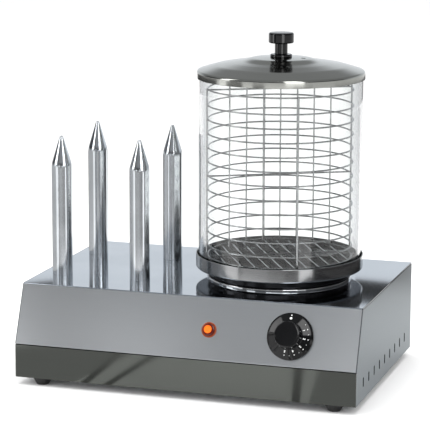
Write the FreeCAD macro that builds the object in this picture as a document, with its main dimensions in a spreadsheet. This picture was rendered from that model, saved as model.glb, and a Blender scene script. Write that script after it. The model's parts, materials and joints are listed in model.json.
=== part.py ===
import FreeCAD, Part
import math
import os
import re
import Sketcher

# Hot dog steamer with four heated bun spikes.
# Frame: +Z up, the floor at z = 0, the front towards -Y, the origin under the middle of the whole
# object's outline. Lengths are millimetres and angles are degrees.

document = FreeCAD.newDocument("hot_dog_steamer")

# ---------------------------------------------------------------------------------------------
# Driving sizes
# ---------------------------------------------------------------------------------------------
sizes = {
    # housing of folded sheet
    "housing_width": 425,
    "housing_height": 111,
    "top_depth": 262,
    "front_lean": 28,
    "slope_drop": 69.5,
    "sheet_gauge": 1.2,
    "seam_gap": 0.8,
    "fit_gap": 0.3,
    "flange_width": 14,
    # vents
    "vent_count": 9,
    "vent_pitch": 27.4,
    "vent_width": 4.5,
    "vent_length": 12,
    "vent_rise": 21,
    "rear_vent_count": 9,
    "rear_vent_pitch": 14,
    "rear_vent_length": 34,
    "floor_vent_length": 90,
    # feet
    "foot_height": 10,
    "foot_top_radius": 12,
    "foot_tip_radius": 7.5,
    "foot_side_inset": 29.5,
    "foot_end_inset": 15,
    "foot_edge": 1,
    "foot_screw_radius": 2,
    "foot_head_radius": 3.6,
    "foot_head_height": 2.5,
    # sheet screws
    "screw_radius": 1.9,
    "screw_head_radius": 3.8,
    "screw_head_height": 2,
    "screw_length": 7,
    # bun spikes
    "rod_radius": 12.5,
    "rod_straight": 138,
    "rod_height": 173,
    "rod_tip_radius": 2,
    "rod_tip_round": 1,
    "rod_side_inset": 26.5,
    "rod_pitch_across": 101.7,
    "rod_pitch_deep": 125,
    "rod_forward": 5.5,
    "spigot_radius": 8,
    "spigot_length": 15,
    "rod_bore_radius": 6.3,
    "rod_heater_radius": 6,
    "rod_heater_length": 128,
    "rod_heater_tail": 8,
    "rod_washer_radius": 14,
    "rod_washer_thick": 1.5,
    "rod_nut_corner": 13.5,
    "rod_nut_thick": 8,
    # hot plate under the pan
    "steam_side_inset": 139.3,
    "steam_backward": 3.4,
    "plate_margin": 3,
    "plate_rise": 3.3,
    "plate_thick": 10,
    "plate_flange": 8,
    "trim_width": 3.7,
    "trim_height": 3,
    "trim_bevel": 1,
    "element_inset": 25,
    "element_tube_radius": 4.2,
    "element_tail": 14,
    "strap_width": 26,
    "strap_thick": 2.5,
    "stud_radius": 3,
    "stud_margin": 14,
    "stud_nut_corner": 5.8,
    "stud_nut_thick": 5,
    "cutout_radius": 11,
    "cutout_height": 14,
    # water pan
    "pan_ledge_width": 15,
    "pan_base_bevel": 1.2,
    "pan_gauge": 1.2,
    "pan_seat_gap": 0.2,
    "pan_ledge_rise": 13,
    "pan_rim_rise": 30.2,
    # glass
    "glass_radius": 100,
    "glass_wall": 4,
    "glass_height": 240,
    "glass_play": 1.8,
    # wire basket
    "basket_gap": 7.3,
    "hoop_wire": 1,
    "upright_wire": 1.25,
    "grid_wire": 1,
    "weld_bite": 0.3,
    "basket_turn": 29,
    "hoop_count": 11,
    "floor_rise": 14.3,
    "hoop_low_gap": 13.6,
    "hoop_top_gap": 19.7,
    "basket_top_margin": 20.4,
    "divider_top_margin": 8,
    "divider_pitch": 21.1,
    "floor_pitch": 15,
    # lid
    "lid_play": 1.2,
    "lid_gauge": 1.2,
    "lid_skirt": 8.2,
    "lid_shoulder_in": 7.4,
    "lid_shoulder_up": 2.2,
    "lid_bow_radius": 60,
    "lid_bow_up": 10,
    "lid_step_radius": 50,
    "lid_step_up": 11.8,
    "lid_crown_radius": 46.5,
    "lid_crown_up": 14.2,
    "lid_centre_radius": 14,
    "lid_centre_up": 16.5,
    "lid_vent_offset": 28,
    "lid_vent_radius": 3,
    # lid knob
    "lid_knob_radius": 15.3,
    "lid_knob_head": 13,
    "lid_knob_edge": 2,
    "lid_knob_stem": 7.8,
    "lid_knob_height": 30,
    "lid_collar_radius": 13.3,
    "lid_collar_height": 3.5,
    "lid_screw_radius": 2.5,
    "lid_screw_length": 18,
    "lid_screw_head": 4.5,
    "lid_screw_head_thick": 3,
    "lid_washer_radius": 9,
    "lid_washer_thick": 1.2,
    "thread_play": 0.05,
    # thermostat
    "dial_side_inset": 82.5,
    "dial_down": 39.5,
    "dial_gap": 0.8,
    "dial_radius": 28,
    "dial_lip": 2.5,
    "dial_step": 1.5,
    "dial_shoulder_radius": 25.5,
    "dial_recess_radius": 12,
    "dial_recess_depth": 5.5,
    "dial_height": 8.5,
    "boss_radius": 16,
    "boss_height": 10.5,
    "boss_edge": 2,
    "shaft_radius": 3,
    "shaft_play": 0.05,
    "shaft_reach": 15,
    "shaft_depth": 22,
    "thermostat_side": 42,
    "thermostat_depth": 27,
    "thermostat_bush_radius": 5,
    "thermostat_bush_rise": 3.5,
    "thermostat_nut_corner": 8,
    "thermostat_nut_thick": 3,
    "bulb_radius": 3,
    "bulb_length": 60,
    # pilot lamp
    "lamp_side_inset": 182.5,
    "lamp_down": 39.2,
    "lamp_radius": 9.3,
    "lamp_face_radius": 6.5,
    "lamp_height": 6,
    "lamp_lip": 1.2,
    "lamp_body_radius": 5.8,
    "lamp_body_length": 26,
    "lamp_clip_radius": 9,
    "lamp_clip_thick": 1.2,
    # mains entry and wiring
    "gland_side_inset": 62.5,
    "gland_rise": 26,
    "gland_reach": 24,
    "gland_thread_radius": 8,
    "gland_body_radius": 11,
    "gland_nose_radius": 7,
    "gland_inner_length": 12,
    "gland_nut_corner": 12.5,
    "gland_nut_thick": 5,
    "cord_bore_radius": 4,
    "terminal_length": 44,
    "terminal_width": 18,
    "terminal_height": 17,
    "terminal_side_inset": 117.5,
    "terminal_inset": 46,
    "earth_side_inset": 37.5,
    "earth_inset": 46,
    "earth_radius": 2.5,
    "earth_height": 16,
    "lead_radius": 1.4,
    "lead_run": 42,
    "lead_step": 12,
}

# Positions and radii that follow from the driving sizes.
places = {
    "slope_length": "sqrt(front_lean^2 + slope_drop^2)",
    "lean_sin": "front_lean / slope_length",
    "lean_cos": "slope_drop / slope_length",
    "slant": "atan(front_lean / slope_drop)",
    "half_width": "housing_width / 2",
    "base_z": "foot_height",
    "top_z": "foot_height + housing_height",
    "under_z": "top_z - sheet_gauge",
    "seam_z": "top_z - slope_drop",
    "dial_front": "dial_gap + dial_height + boss_height",
    "dial_reach": "dial_down * lean_sin + dial_front * lean_cos + (boss_radius - boss_edge) * lean_sin",
    "fold_y": "(dial_reach - top_depth - gland_reach) / 2",
    "rear_y": "fold_y + top_depth",
    "front_y": "fold_y - front_lean",
    "middle_y": "(front_y + rear_y) / 2",
    "floor_z": "base_z + sheet_gauge",
    "wall_x": "half_width - sheet_gauge",
    "foot_x": "half_width - foot_side_inset",
    "foot_front_y": "front_y + foot_end_inset",
    "foot_rear_y": "rear_y - foot_end_inset",
    "rod_outer_x": "rod_side_inset - half_width",
    "rod_inner_x": "rod_outer_x + rod_pitch_across",
    "rod_front_y": "fold_y + top_depth / 2 - rod_forward - rod_pitch_deep / 2",
    "rod_rear_y": "rod_front_y + rod_pitch_deep",
    "steam_x": "half_width - steam_side_inset",
    "steam_y": "fold_y + top_depth / 2 + steam_backward",
    "pan_rim_radius": "glass_radius + glass_play + pan_gauge",
    "pan_base_radius": "pan_rim_radius - pan_ledge_width",
    "plate_radius": "pan_base_radius - plate_margin",
    "element_ring_radius": "plate_radius - element_inset",
    "plate_top": "top_z + plate_rise",
    "plate_bottom": "plate_top - plate_thick",
    "plate_foot_radius": "plate_radius + plate_flange",
    "trim_inner": "plate_radius + fit_gap",
    "strap_z": "plate_bottom - 2 * element_tube_radius - strap_thick",
    "stud_x": "plate_foot_radius + stud_margin",
    "pan_bottom": "plate_top + pan_seat_gap",
    "ledge_z": "top_z + pan_ledge_rise",
    "seat_z": "ledge_z + pan_gauge",
    "glass_z": "seat_z + fit_gap",
    "glass_top": "glass_z + glass_height",
    "hoop_radius": "glass_radius - glass_wall - basket_gap",
    "upright_radius": "hoop_radius + hoop_wire + upright_wire - weld_bite",
    "basket_z": "seat_z + fit_gap",
    "floor_hoop_z": "seat_z + floor_rise",
    "low_hoop_z": "floor_hoop_z + hoop_low_gap",
    "top_hoop_z": "glass_top - basket_top_margin",
    "high_hoop_z": "top_hoop_z - hoop_top_gap",
    "hoop_pitch": "(high_hoop_z - low_hoop_z) / (hoop_count - 1)",
    "floor_wire_z": "floor_hoop_z - hoop_wire - grid_wire + weld_bite",
    "divider_foot_z": "floor_wire_z + 2 * grid_wire - weld_bite",
    "divider_top_z": "glass_top - divider_top_margin",
    "divider_half": "hoop_radius - hoop_wire + weld_bite",
    "lid_z": "glass_top + fit_gap",
    "lid_inner": "glass_radius + lid_play",
    "lid_outer": "lid_inner + lid_gauge",
    "lid_knob_z": "lid_z + lid_centre_up + lid_gauge",
    "dial_x": "half_width - dial_side_inset",
    "lamp_x": "half_width - lamp_side_inset",
    "gland_x": "half_width - gland_side_inset",
    "gland_z": "base_z + gland_rise",
    "terminal_x": "half_width - terminal_side_inset",
    "earth_x": "half_width - earth_side_inset",
}


def filled_sheet(name, rows, to_text):
    """Puts each named row into one spreadsheet column, with its name as the alias."""
    sheet = document.addObject("Spreadsheet::Sheet", name)
    for index, (alias, content) in enumerate(rows.items()):
        cell = "A%d" % (index + 1)
        sheet.set(cell, to_text(content))
        sheet.setAlias(cell, alias)
    return sheet


def link(text):
    """Turns the plain names in a formula into references to the two sheets."""
    def swap(match):
        word = match.group(0)
        if word in sizes:
            return "Sizes." + word
        return "Places." + word if word in places else word
    return re.sub(r"[a-z_]+", swap, text)


size_sheet = filled_sheet("Sizes", sizes, str)
document.recompute()
place_sheet = filled_sheet("Places", places, lambda formula: "=" + link(formula))
document.recompute()

sub_parts = []


def number(name):
    """The value of a named size or place, for the few routes that code works out."""
    return float(getattr(size_sheet if name in sizes else place_sheet, name))


# ---------------------------------------------------------------------------------------------
# Helpers: placing, sketching and the usual ways of making a piece
# ---------------------------------------------------------------------------------------------
def bind(thing, **formulas):
    for name, text in formulas.items():
        thing.setExpression(name, link(text))
    return thing


def keep(thing, label):
    """Marks a document object as a finished sub-part, and names it."""
    thing.Label = label
    sub_parts.append(thing)
    return thing


def place(thing, x="0", y="0", z="0"):
    for axis, text in zip("xyz", (x, y, z)):
        thing.setExpression("Placement.Base." + axis, link(text))
    return thing


def turn(thing, axis, angle):
    thing.Placement.Rotation = FreeCAD.Rotation(FreeCAD.Vector(*axis), 1)
    thing.setExpression("Placement.Rotation.Angle", link(angle))
    return thing


def on_slope(thing, across, down, out="0"):
    """Stands a piece on the sloping front: its own +Z points out of the sheet, its own +Y up it."""
    turn(thing, (1, 0, 0), "90 deg - slant")
    y = "fold_y - (%s) * lean_sin - (%s) * lean_cos" % (down, out)
    z = "top_z - (%s) * lean_cos + (%s) * lean_sin" % (down, out)
    return place(thing, across, y, z)


def origin_plane(body, role):
    return next(feature for feature in body.Origin.OriginFeatures if feature.Role == role)


def new_sketch(body, role, lift="0"):
    sketch = body.newObject("Sketcher::SketchObject", body.Name + "_sketch")
    sketch.AttachmentSupport = [(origin_plane(body, role), "")]
    sketch.MapMode = "FlatFace"
    sketch.setExpression("AttachmentOffset.Base.z", link(lift))
    return sketch


def draw_outline(sketch, corners):
    """A closed outline of straight lines whose corners are held to formulas for x and y."""
    turns = [2 * math.pi * index / len(corners) for index in range(len(corners))]
    loose = [FreeCAD.Vector(50 * math.cos(angle), 50 * math.sin(angle), 0) for angle in turns]
    for here, there in zip(loose, loose[1:] + loose[:1]):
        sketch.addGeometry(Part.LineSegment(here, there), False)
    for index in range(len(corners)):
        after = (index + 1) % len(corners)
        sketch.addConstraint(Sketcher.Constraint("Coincident", index, 2, after, 1))
    for index, (x, y) in enumerate(corners):
        hold_point(sketch, index, 1, x, y, loose[index])


def hold_point(sketch, line, end, x, y, near):
    """Holds a point of the sketch at formulas for x and y; near is where it lies before that."""
    for kind, text, start in (("DistanceX", x, near.x), ("DistanceY", y, near.y)):
        row = sketch.addConstraint(Sketcher.Constraint(kind, -1, 1, line, end, start))
        sketch.setExpression("Constraints[%d]" % row, link(text))


def draw_slot(sketch, x, y, width, length):
    """An upright slot with round ends, centred on formulas for x and y."""
    flat = 10
    high, low = FreeCAD.Vector(0, flat, 0), FreeCAD.Vector(0, -flat, 0)
    left, right = FreeCAD.Vector(-1, 0, 0), FreeCAD.Vector(1, 0, 0)
    up = FreeCAD.Vector(0, 0, 1)
    sketch.addGeometry(Part.ArcOfCircle(Part.Circle(high, up, 1), 0, math.pi), False)
    sketch.addGeometry(Part.LineSegment(high + left, low + left), False)
    sketch.addGeometry(Part.ArcOfCircle(Part.Circle(low, up, 1), math.pi, 2 * math.pi), False)
    sketch.addGeometry(Part.LineSegment(low + right, high + right), False)
    for edge in range(4):
        sketch.addConstraint(Sketcher.Constraint("Tangent", edge, 2, (edge + 1) % 4, 1))
    sketch.addConstraint(Sketcher.Constraint("Equal", 0, 2))
    radius = sketch.addConstraint(Sketcher.Constraint("Radius", 0, 1))
    sketch.setExpression("Constraints[%d]" % radius, link("(%s) / 2" % width))
    half = "((%s) - (%s)) / 2" % (length, width)
    hold_point(sketch, 0, 3, x, "(%s) + %s" % (y, half), high)
    hold_point(sketch, 2, 3, x, "(%s) - %s" % (y, half), low)


def rectangle(left, right, low, high):
    return [(left, low), (right, low), (right, high), (left, high)]


def new_body(label):
    return document.addObject("PartDesign::Body", label)


def turned(label, profile, x="steam_x", y="steam_y", z="0"):
    """A piece turned about its own upright axis, from a profile of (radius, height) corners."""
    body = new_body(label)
    sketch = new_sketch(body, "XZ_Plane")
    draw_outline(sketch, profile)
    spin = body.newObject("PartDesign::Revolution", label + "_turn")
    spin.Profile = sketch
    spin.ReferenceAxis = (sketch, ["V_Axis"])
    spin.Angle = 360
    return place(body, x, y, z)


def add_pad(body, role, corners, length, lift="0", midplane=False):
    """Pads an outline drawn on one of the body's own planes, lifted along the plane's normal."""
    sketch = new_sketch(body, role, lift)
    draw_outline(sketch, corners)
    pad = body.newObject("PartDesign::Pad", body.Name + "_pad")
    pad.Profile = sketch
    pad.Midplane = midplane
    bind(pad, Length=length)
    return body


def add_slots(body, role, x, y, width, length, lift, count, pitch):
    """Cuts one upright slot through the sheet at the lifted plane, and repeats it in a row."""
    sketch = new_sketch(body, role, lift)
    draw_slot(sketch, x, y, width, length)
    pocket = body.newObject("PartDesign::Pocket", body.Name + "_slot")
    pocket.Profile = sketch
    pocket.Midplane = True
    bind(pocket, Length="4 * sheet_gauge")
    row = body.newObject("PartDesign::LinearPattern", body.Name + "_slots")
    row.Originals = [pocket]
    row.Direction = (sketch, ["H_Axis"])
    bind(row, Occurrences=count, Length="(%s) * ((%s) - 1)" % (pitch, count))
    body.Tip = row
    return body


def cylinder(radius, height, x="0", y="0", z="0"):
    shape = document.addObject("Part::Cylinder", "cylinder")
    return place(bind(shape, Radius=radius, Height=height), x, y, z)


def box(length, width, height, x="0", y="0", z="0"):
    shape = document.addObject("Part::Box", "box")
    return place(bind(shape, Length=length, Width=width, Height=height), x, y, z)


def hexagon(corner, height, x="0", y="0", z="0"):
    shape = document.addObject("Part::Prism", "hexagon")
    shape.Polygon = 6
    return place(bind(shape, Circumradius=corner, Height=height), x, y, z)


def torus(radius, wire, x="0", y="0", z="0"):
    shape = document.addObject("Part::Torus", "torus")
    return place(bind(shape, Radius1=radius, Radius2=wire), x, y, z)


def laid(shape, along):
    """Lays an upright piece along +X or +Y."""
    return turn(shape, (0, 1, 0), "90 deg") if along == "x" else turn(shape, (1, 0, 0), "-90 deg")


def fuse(pieces):
    result = document.addObject("Part::MultiFuse", "fuse")
    result.Shapes = pieces
    return result


def cut(base, tools):
    result = document.addObject("Part::Cut", "cut")
    result.Base = base
    result.Tool = tools[0] if len(tools) == 1 else fuse(tools)
    return result


def group(pieces):
    result = document.addObject("Part::Compound", "group")
    result.Links = pieces
    return result


def lead(label, points):
    """A round lead along straight runs, with one arc at each corner as large as its runs allow."""
    corners = [FreeCAD.Vector(*point) for point in points]
    edges = []
    start = corners[0]
    for before, corner, after in zip(corners, corners[1:], corners[2:]):
        back, ahead = before - corner, after - corner
        reach = 0.45 * min(back.Length, ahead.Length)
        back.normalize()
        ahead.normalize()
        half_turn = (math.pi - back.getAngle(ahead)) / 2
        radius = reach / math.tan(half_turn)
        inward = (back + ahead).normalize()
        middle = corner + inward * (radius / math.cos(half_turn) - radius)
        edges.append(Part.LineSegment(start, corner + back * reach).toShape())
        edges.append(Part.Arc(corner + back * reach, middle, corner + ahead * reach).toShape())
        start = corner + ahead * reach
    edges.append(Part.LineSegment(start, corners[-1]).toShape())
    rim = Part.makeCircle(number("lead_radius"), corners[0], corners[1] - corners[0])
    tube = document.addObject("Part::Feature", label)
    tube.Shape = Part.Wire(edges).makePipeShell([Part.Wire([rim])], True, True)
    return keep(tube, label)


# ---------------------------------------------------------------------------------------------
# Housing: one folded sheet for the top and the sloping front, and flat sheets all round
# ---------------------------------------------------------------------------------------------
rod_spots = {
    "outer_front": ("rod_outer_x", "rod_front_y"),
    "outer_rear": ("rod_outer_x", "rod_rear_y"),
    "inner_front": ("rod_inner_x", "rod_front_y"),
    "inner_rear": ("rod_inner_x", "rod_rear_y"),
}
foot_spots = {
    "front_left": ("-foot_x", "foot_front_y"),
    "front_right": ("foot_x", "foot_front_y"),
    "rear_left": ("-foot_x", "foot_rear_y"),
    "rear_right": ("foot_x", "foot_rear_y"),
}


def make_top_cover():
    sheet = add_pad(new_body("top_sheet"), "YZ_Plane", [
        ("rear_y", "top_z"),
        ("rear_y", "under_z"),
        ("fold_y + sheet_gauge * (1 - lean_sin) / lean_cos", "under_z"),
        ("front_y + sheet_gauge * lean_cos", "seam_z - sheet_gauge * lean_sin"),
        ("front_y", "seam_z"),
        ("fold_y", "top_z"),
    ], "housing_width", midplane=True)
    deep = "4 * sheet_gauge"
    holes = [cylinder("trim_inner", deep, "steam_x", "steam_y", "under_z - sheet_gauge")]
    for x, y in rod_spots.values():
        holes.append(cylinder("spigot_radius + fit_gap", deep, x, y, "under_z - sheet_gauge"))
    for radius, across, down in (("thermostat_bush_radius", "dial_x", "dial_down"),
                                 ("lamp_body_radius", "lamp_x", "lamp_down")):
        holes.append(on_slope(cylinder(radius + " + fit_gap", deep), across, down, "-2 * sheet_gauge"))
    keep(cut(sheet, holes), "top_cover")


def make_front_lower_panel():
    high = "seam_z - sheet_gauge * lean_sin - seam_gap"
    panel = add_pad(new_body("front_lower_panel"), "YZ_Plane",
                    rectangle("front_y", "front_y + sheet_gauge", "base_z", high),
                    "housing_width", midplane=True)
    flange = rectangle("front_y", "front_y + flange_width", high + " - sheet_gauge", high)
    add_pad(panel, "YZ_Plane", flange, "2 * (wall_x - fit_gap)", midplane=True)
    keep(panel, "front_lower_panel")


def screw_rows():
    """Heights of the rear panel's screws and places of the base plate's, on each side flange."""
    heights = ["base_z + 3 * screw_head_radius", "(base_z + top_z) / 2", "top_z - 4 * screw_head_radius"]
    depths = ["front_y + 3 * flange_width", "middle_y", "rear_y - 3 * flange_width"]
    return heights, depths


def make_side_panel(label, side):
    """side is 1 for the right panel and -1 for the left."""
    rear = "rear_y - sheet_gauge - fit_gap"
    front = "front_y + sheet_gauge + fit_gap"
    inset = "(sheet_gauge + seam_gap)"
    knee = "top_z + (lean_cos * (%s - fold_y) - %s) / lean_sin" % (front, inset)
    outline = [
        (front, "base_z"),
        (rear, "base_z"),
        (rear, "top_z - " + inset),
        ("fold_y + %s * (1 - lean_sin) / lean_cos" % inset, "top_z - " + inset),
        (front, knee),
    ]
    low_x = "wall_x" if side > 0 else "-half_width"
    panel = add_pad(new_body(label + "_sheet"), "YZ_Plane", outline, "sheet_gauge", low_x)
    sheet_face, flange_edge = "%d * wall_x" % side, "%d * (wall_x - flange_width)" % side
    across = (flange_edge, sheet_face) if side > 0 else (sheet_face, flange_edge)
    rear_flange = rectangle(*across, rear + " - sheet_gauge", rear)
    add_pad(panel, "XY_Plane", rear_flange, "top_z - floor_z - " + inset, "floor_z")
    foot_flange = rectangle(*across, "%s + flange_width" % front, rear)
    add_pad(panel, "XY_Plane", foot_flange, "sheet_gauge", "floor_z")
    start = "middle_y - vent_pitch * (vent_count - 1) / 2"
    add_slots(panel, "YZ_Plane", start, "base_z + vent_rise", "vent_width", "vent_length",
              "%d * (half_width - sheet_gauge / 2)" % side, "vent_count", "vent_pitch")
    heights, depths = screw_rows()
    middle = "%d * (wall_x - flange_width / 2)" % side
    hole = "screw_radius + fit_gap"
    deep = "6 * sheet_gauge"
    holes = [laid(cylinder(hole, deep, middle, "rear_y - 4 * sheet_gauge", z), "y") for z in heights]
    holes += [cylinder(hole, deep, middle, y, "base_z - sheet_gauge") for y in depths]
    keep(cut(panel, holes), label)


def make_rear_panel():
    sheet = add_pad(new_body("rear_sheet"), "YZ_Plane",
                    rectangle("rear_y - sheet_gauge", "rear_y", "base_z", "under_z - seam_gap"),
                    "housing_width", midplane=True)
    add_slots(sheet, "XZ_Plane", "-rear_vent_pitch * (rear_vent_count - 1) / 2", "(base_z + top_z) / 2",
              "vent_width", "rear_vent_length", "sheet_gauge / 2 - rear_y",
              "rear_vent_count", "rear_vent_pitch")
    deep = "4 * sheet_gauge"
    start = "rear_y - 2 * sheet_gauge"
    holes = [laid(cylinder("gland_thread_radius + fit_gap", deep, "gland_x", start, "gland_z"), "y")]
    for side in (-1, 1):
        middle = "%d * (wall_x - flange_width / 2)" % side
        holes += [laid(cylinder("screw_radius + fit_gap", deep, middle, start, z), "y")
                  for z in screw_rows()[0]]
    keep(cut(sheet, holes), "rear_panel")


def make_base_plate():
    edge = "(wall_x - fit_gap)"
    sheet = add_pad(new_body("base_sheet"), "XY_Plane",
                    rectangle("-" + edge, edge, "front_y + sheet_gauge + fit_gap",
                              "rear_y - sheet_gauge - fit_gap"), "sheet_gauge", "base_z")
    add_slots(sheet, "XY_Plane", "-rear_vent_pitch * (rear_vent_count - 1) / 2", "middle_y",
              "vent_width", "floor_vent_length", "base_z + sheet_gauge / 2",
              "rear_vent_count", "rear_vent_pitch")
    deep = "4 * sheet_gauge"
    low = "base_z - sheet_gauge"
    holes = [cylinder("foot_screw_radius + fit_gap", deep, x, y, low) for x, y in foot_spots.values()]
    for side in (-1, 1):
        middle = "%d * (wall_x - flange_width / 2)" % side
        holes += [cylinder("screw_radius + fit_gap", deep, middle, y, low) for y in screw_rows()[1]]
    keep(cut(sheet, holes), "base_plate")


def make_feet():
    recess = "foot_head_height + foot_edge"
    for name, (x, y) in foot_spots.items():
        foot = turned("foot_" + name, [
            ("foot_head_radius + foot_edge", "0"),
            ("foot_tip_radius - foot_edge", "0"),
            ("foot_tip_radius", "foot_edge"),
            ("foot_top_radius", "foot_height"),
            ("foot_screw_radius + fit_gap", "foot_height"),
            ("foot_screw_radius + fit_gap", recess),
            ("foot_head_radius + foot_edge", recess),
        ], x, y)
        keep(foot, "foot_" + name)
    screws = [fuse([cylinder("foot_head_radius", "foot_head_height", x, y, "foot_edge"),
                    cylinder("foot_screw_radius", "floor_z + screw_length - %s" % recess, x, y, recess)])
              for x, y in foot_spots.values()]
    keep(group(screws), "foot_screws")


def make_panel_screws():
    heights, depths = screw_rows()
    screws = []
    for side in (-1, 1):
        x = "%d * (wall_x - flange_width / 2)" % side
        for z in heights:
            head = laid(cylinder("screw_head_radius", "screw_head_height", x, "rear_y", z), "y")
            shank = laid(cylinder("screw_radius", "screw_length", x, "rear_y - screw_length", z), "y")
            screws.append(fuse([head, shank]))
        for y in depths:
            head = cylinder("screw_head_radius", "screw_head_height", x, y, "base_z - screw_head_height")
            screws.append(fuse([head, cylinder("screw_radius", "screw_length", x, y, "base_z")]))
    keep(group(screws), "panel_screws")


# ---------------------------------------------------------------------------------------------
# Bun spikes: hollow rods on the top sheet, each with a cartridge heater, washer and nut
# ---------------------------------------------------------------------------------------------
def make_spikes():
    low = "-sheet_gauge - spigot_length"
    bore_top = "rod_heater_length + rod_tip_radius"
    for name, (x, y) in rod_spots.items():
        spike = turned("bun_spike_" + name, [
            ("rod_bore_radius", low),
            ("spigot_radius", low),
            ("spigot_radius", "0"),
            ("rod_radius", "0"),
            ("rod_radius", "rod_straight"),
            ("rod_tip_radius", "rod_height - rod_tip_round"),
            ("rod_tip_radius - rod_tip_round", "rod_height"),
            ("0", "rod_height"),
            ("0", bore_top),
            ("rod_bore_radius", bore_top),
        ], x, y, "top_z")
        keep(spike, "bun_spike_" + name)
    heaters, washers, nuts = [], [], []
    washer_z = "under_z - rod_washer_thick"
    nut_z = washer_z + " - rod_nut_thick"
    for x, y in rod_spots.values():
        tail = "under_z - spigot_length - rod_heater_tail"
        heaters.append(cylinder("rod_heater_radius", "top_z + rod_heater_length - (%s)" % tail, x, y, tail))
        bore = cylinder("spigot_radius + fit_gap", "rod_washer_thick", x, y, washer_z)
        washers.append(cut(cylinder("rod_washer_radius", "rod_washer_thick", x, y, washer_z), [bore]))
        bore = cylinder("spigot_radius + thread_play", "rod_nut_thick", x, y, nut_z)
        nuts.append(cut(hexagon("rod_nut_corner", "rod_nut_thick", x, y, nut_z), [bore]))
    keep(group(heaters), "spike_heaters")
    keep(group(washers), "spike_washers")
    keep(group(nuts), "spike_nuts")


# ---------------------------------------------------------------------------------------------
# Hot plate: a cast disc clamped up against the top sheet, with its element under it
# ---------------------------------------------------------------------------------------------
def make_hot_plate():
    keep(turned("hot_plate", [
        ("0", "plate_bottom"),
        ("plate_foot_radius", "plate_bottom"),
        ("plate_foot_radius", "under_z"),
        ("plate_radius", "under_z"),
        ("plate_radius", "plate_top"),
        ("0", "plate_top"),
    ]), "hot_plate")
    keep(turned("plate_trim_ring", [
        ("trim_inner", "top_z"),
        ("trim_inner + trim_width", "top_z"),
        ("trim_inner + trim_width", "top_z + trim_height - trim_bevel"),
        ("trim_inner + trim_width - trim_bevel", "top_z + trim_height"),
        ("trim_inner + trim_bevel", "top_z + trim_height"),
        ("trim_inner", "top_z + trim_height - trim_bevel"),
    ]), "plate_trim_ring")
    ring_z = "plate_bottom - element_tube_radius"
    tail_radius = "element_tube_radius - 1"
    tail_y = "steam_y - element_ring_radius"
    pieces = [torus("element_ring_radius", "element_tube_radius", "steam_x", "steam_y", ring_z)]
    pieces += [cylinder(tail_radius, "element_tail", "steam_x + %d * element_tail / 2" % side, tail_y,
                        ring_z + " - element_tail") for side in (-1, 1)]
    keep(fuse(pieces), "heating_element")


def make_plate_clamp():
    long = "2 * (stud_x + stud_nut_corner)"
    strap = box(long, "strap_width", "strap_thick", "steam_x - stud_x - stud_nut_corner",
                "steam_y - strap_width / 2", "strap_z")
    holes, studs, nuts = [], [], []
    nut_z = "strap_z - stud_nut_thick"
    for side in (-1, 1):
        x = "steam_x + %d * stud_x" % side
        holes.append(cylinder("stud_radius + fit_gap", "strap_thick", x, "steam_y", "strap_z"))
        foot = nut_z + " - stud_radius"
        studs.append(cylinder("stud_radius", "under_z - (%s)" % foot, x, "steam_y", foot))
        bore = cylinder("stud_radius + thread_play", "stud_nut_thick", x, "steam_y", nut_z)
        nuts.append(cut(hexagon("stud_nut_corner", "stud_nut_thick", x, "steam_y", nut_z), [bore]))
    keep(cut(strap, holes), "plate_clamp_strap")
    keep(group(studs), "plate_clamp_studs")
    keep(group(nuts), "plate_clamp_nuts")
    cutout_z = "strap_z - cutout_height"
    keep(fuse([cylinder("cutout_radius", "cutout_height", "steam_x", "steam_y", cutout_z),
               box("cutout_radius", "cutout_radius / 2", "cutout_radius / 2",
                   "steam_x - cutout_radius / 2", "steam_y - cutout_radius / 4",
                   cutout_z + " - cutout_radius / 2")]), "safety_cutout")


# ---------------------------------------------------------------------------------------------
# Steamer: water pan, glass, wire basket and lid, stacked so that each lifts off the one below
# ---------------------------------------------------------------------------------------------
def make_water_pan():
    keep(turned("water_pan", [
        ("0", "pan_bottom"),
        ("pan_base_radius - pan_base_bevel", "pan_bottom"),
        ("pan_base_radius", "pan_bottom + pan_base_bevel"),
        ("pan_base_radius", "ledge_z"),
        ("pan_rim_radius", "ledge_z"),
        ("pan_rim_radius", "top_z + pan_rim_rise"),
        ("pan_rim_radius - pan_gauge", "top_z + pan_rim_rise"),
        ("pan_rim_radius - pan_gauge", "seat_z"),
        ("pan_base_radius - pan_gauge", "seat_z"),
        ("pan_base_radius - pan_gauge", "pan_bottom + pan_gauge"),
        ("0", "pan_bottom + pan_gauge"),
    ]), "water_pan")


def make_glass():
    wall = rectangle("glass_radius - glass_wall", "glass_radius", "glass_z", "glass_top")
    keep(turned("glass_cylinder", wall), "glass_cylinder")


def in_basket(shape):
    """Moves a piece made about the basket's own axis to the steamer, and turns it."""
    return place(turn(shape, (0, 0, 1), "basket_turn * 1 deg"), "steam_x", "steam_y")


def make_basket():
    rows = ["low_hoop_z + %d * hoop_pitch" % index for index in range(sizes["hoop_count"])]
    hoops = [torus("hoop_radius", "hoop_wire", z=z) for z in ["floor_hoop_z", "top_hoop_z"] + rows]
    keep(in_basket(group(hoops)), "basket_hoops")
    tall = "top_hoop_z + 2 * hoop_wire - basket_z"
    spots = [("upright_radius", "0"), ("-upright_radius", "0"),
             ("0", "upright_radius"), ("0", "-upright_radius")]
    uprights = [cylinder("upright_wire", tall, x, y, "basket_z") for x, y in spots]
    keep(in_basket(group(uprights)), "basket_uprights")
    keep(in_basket(fuse(divider_wires())), "basket_divider")
    keep(in_basket(fuse(floor_wires())), "basket_floor")


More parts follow.
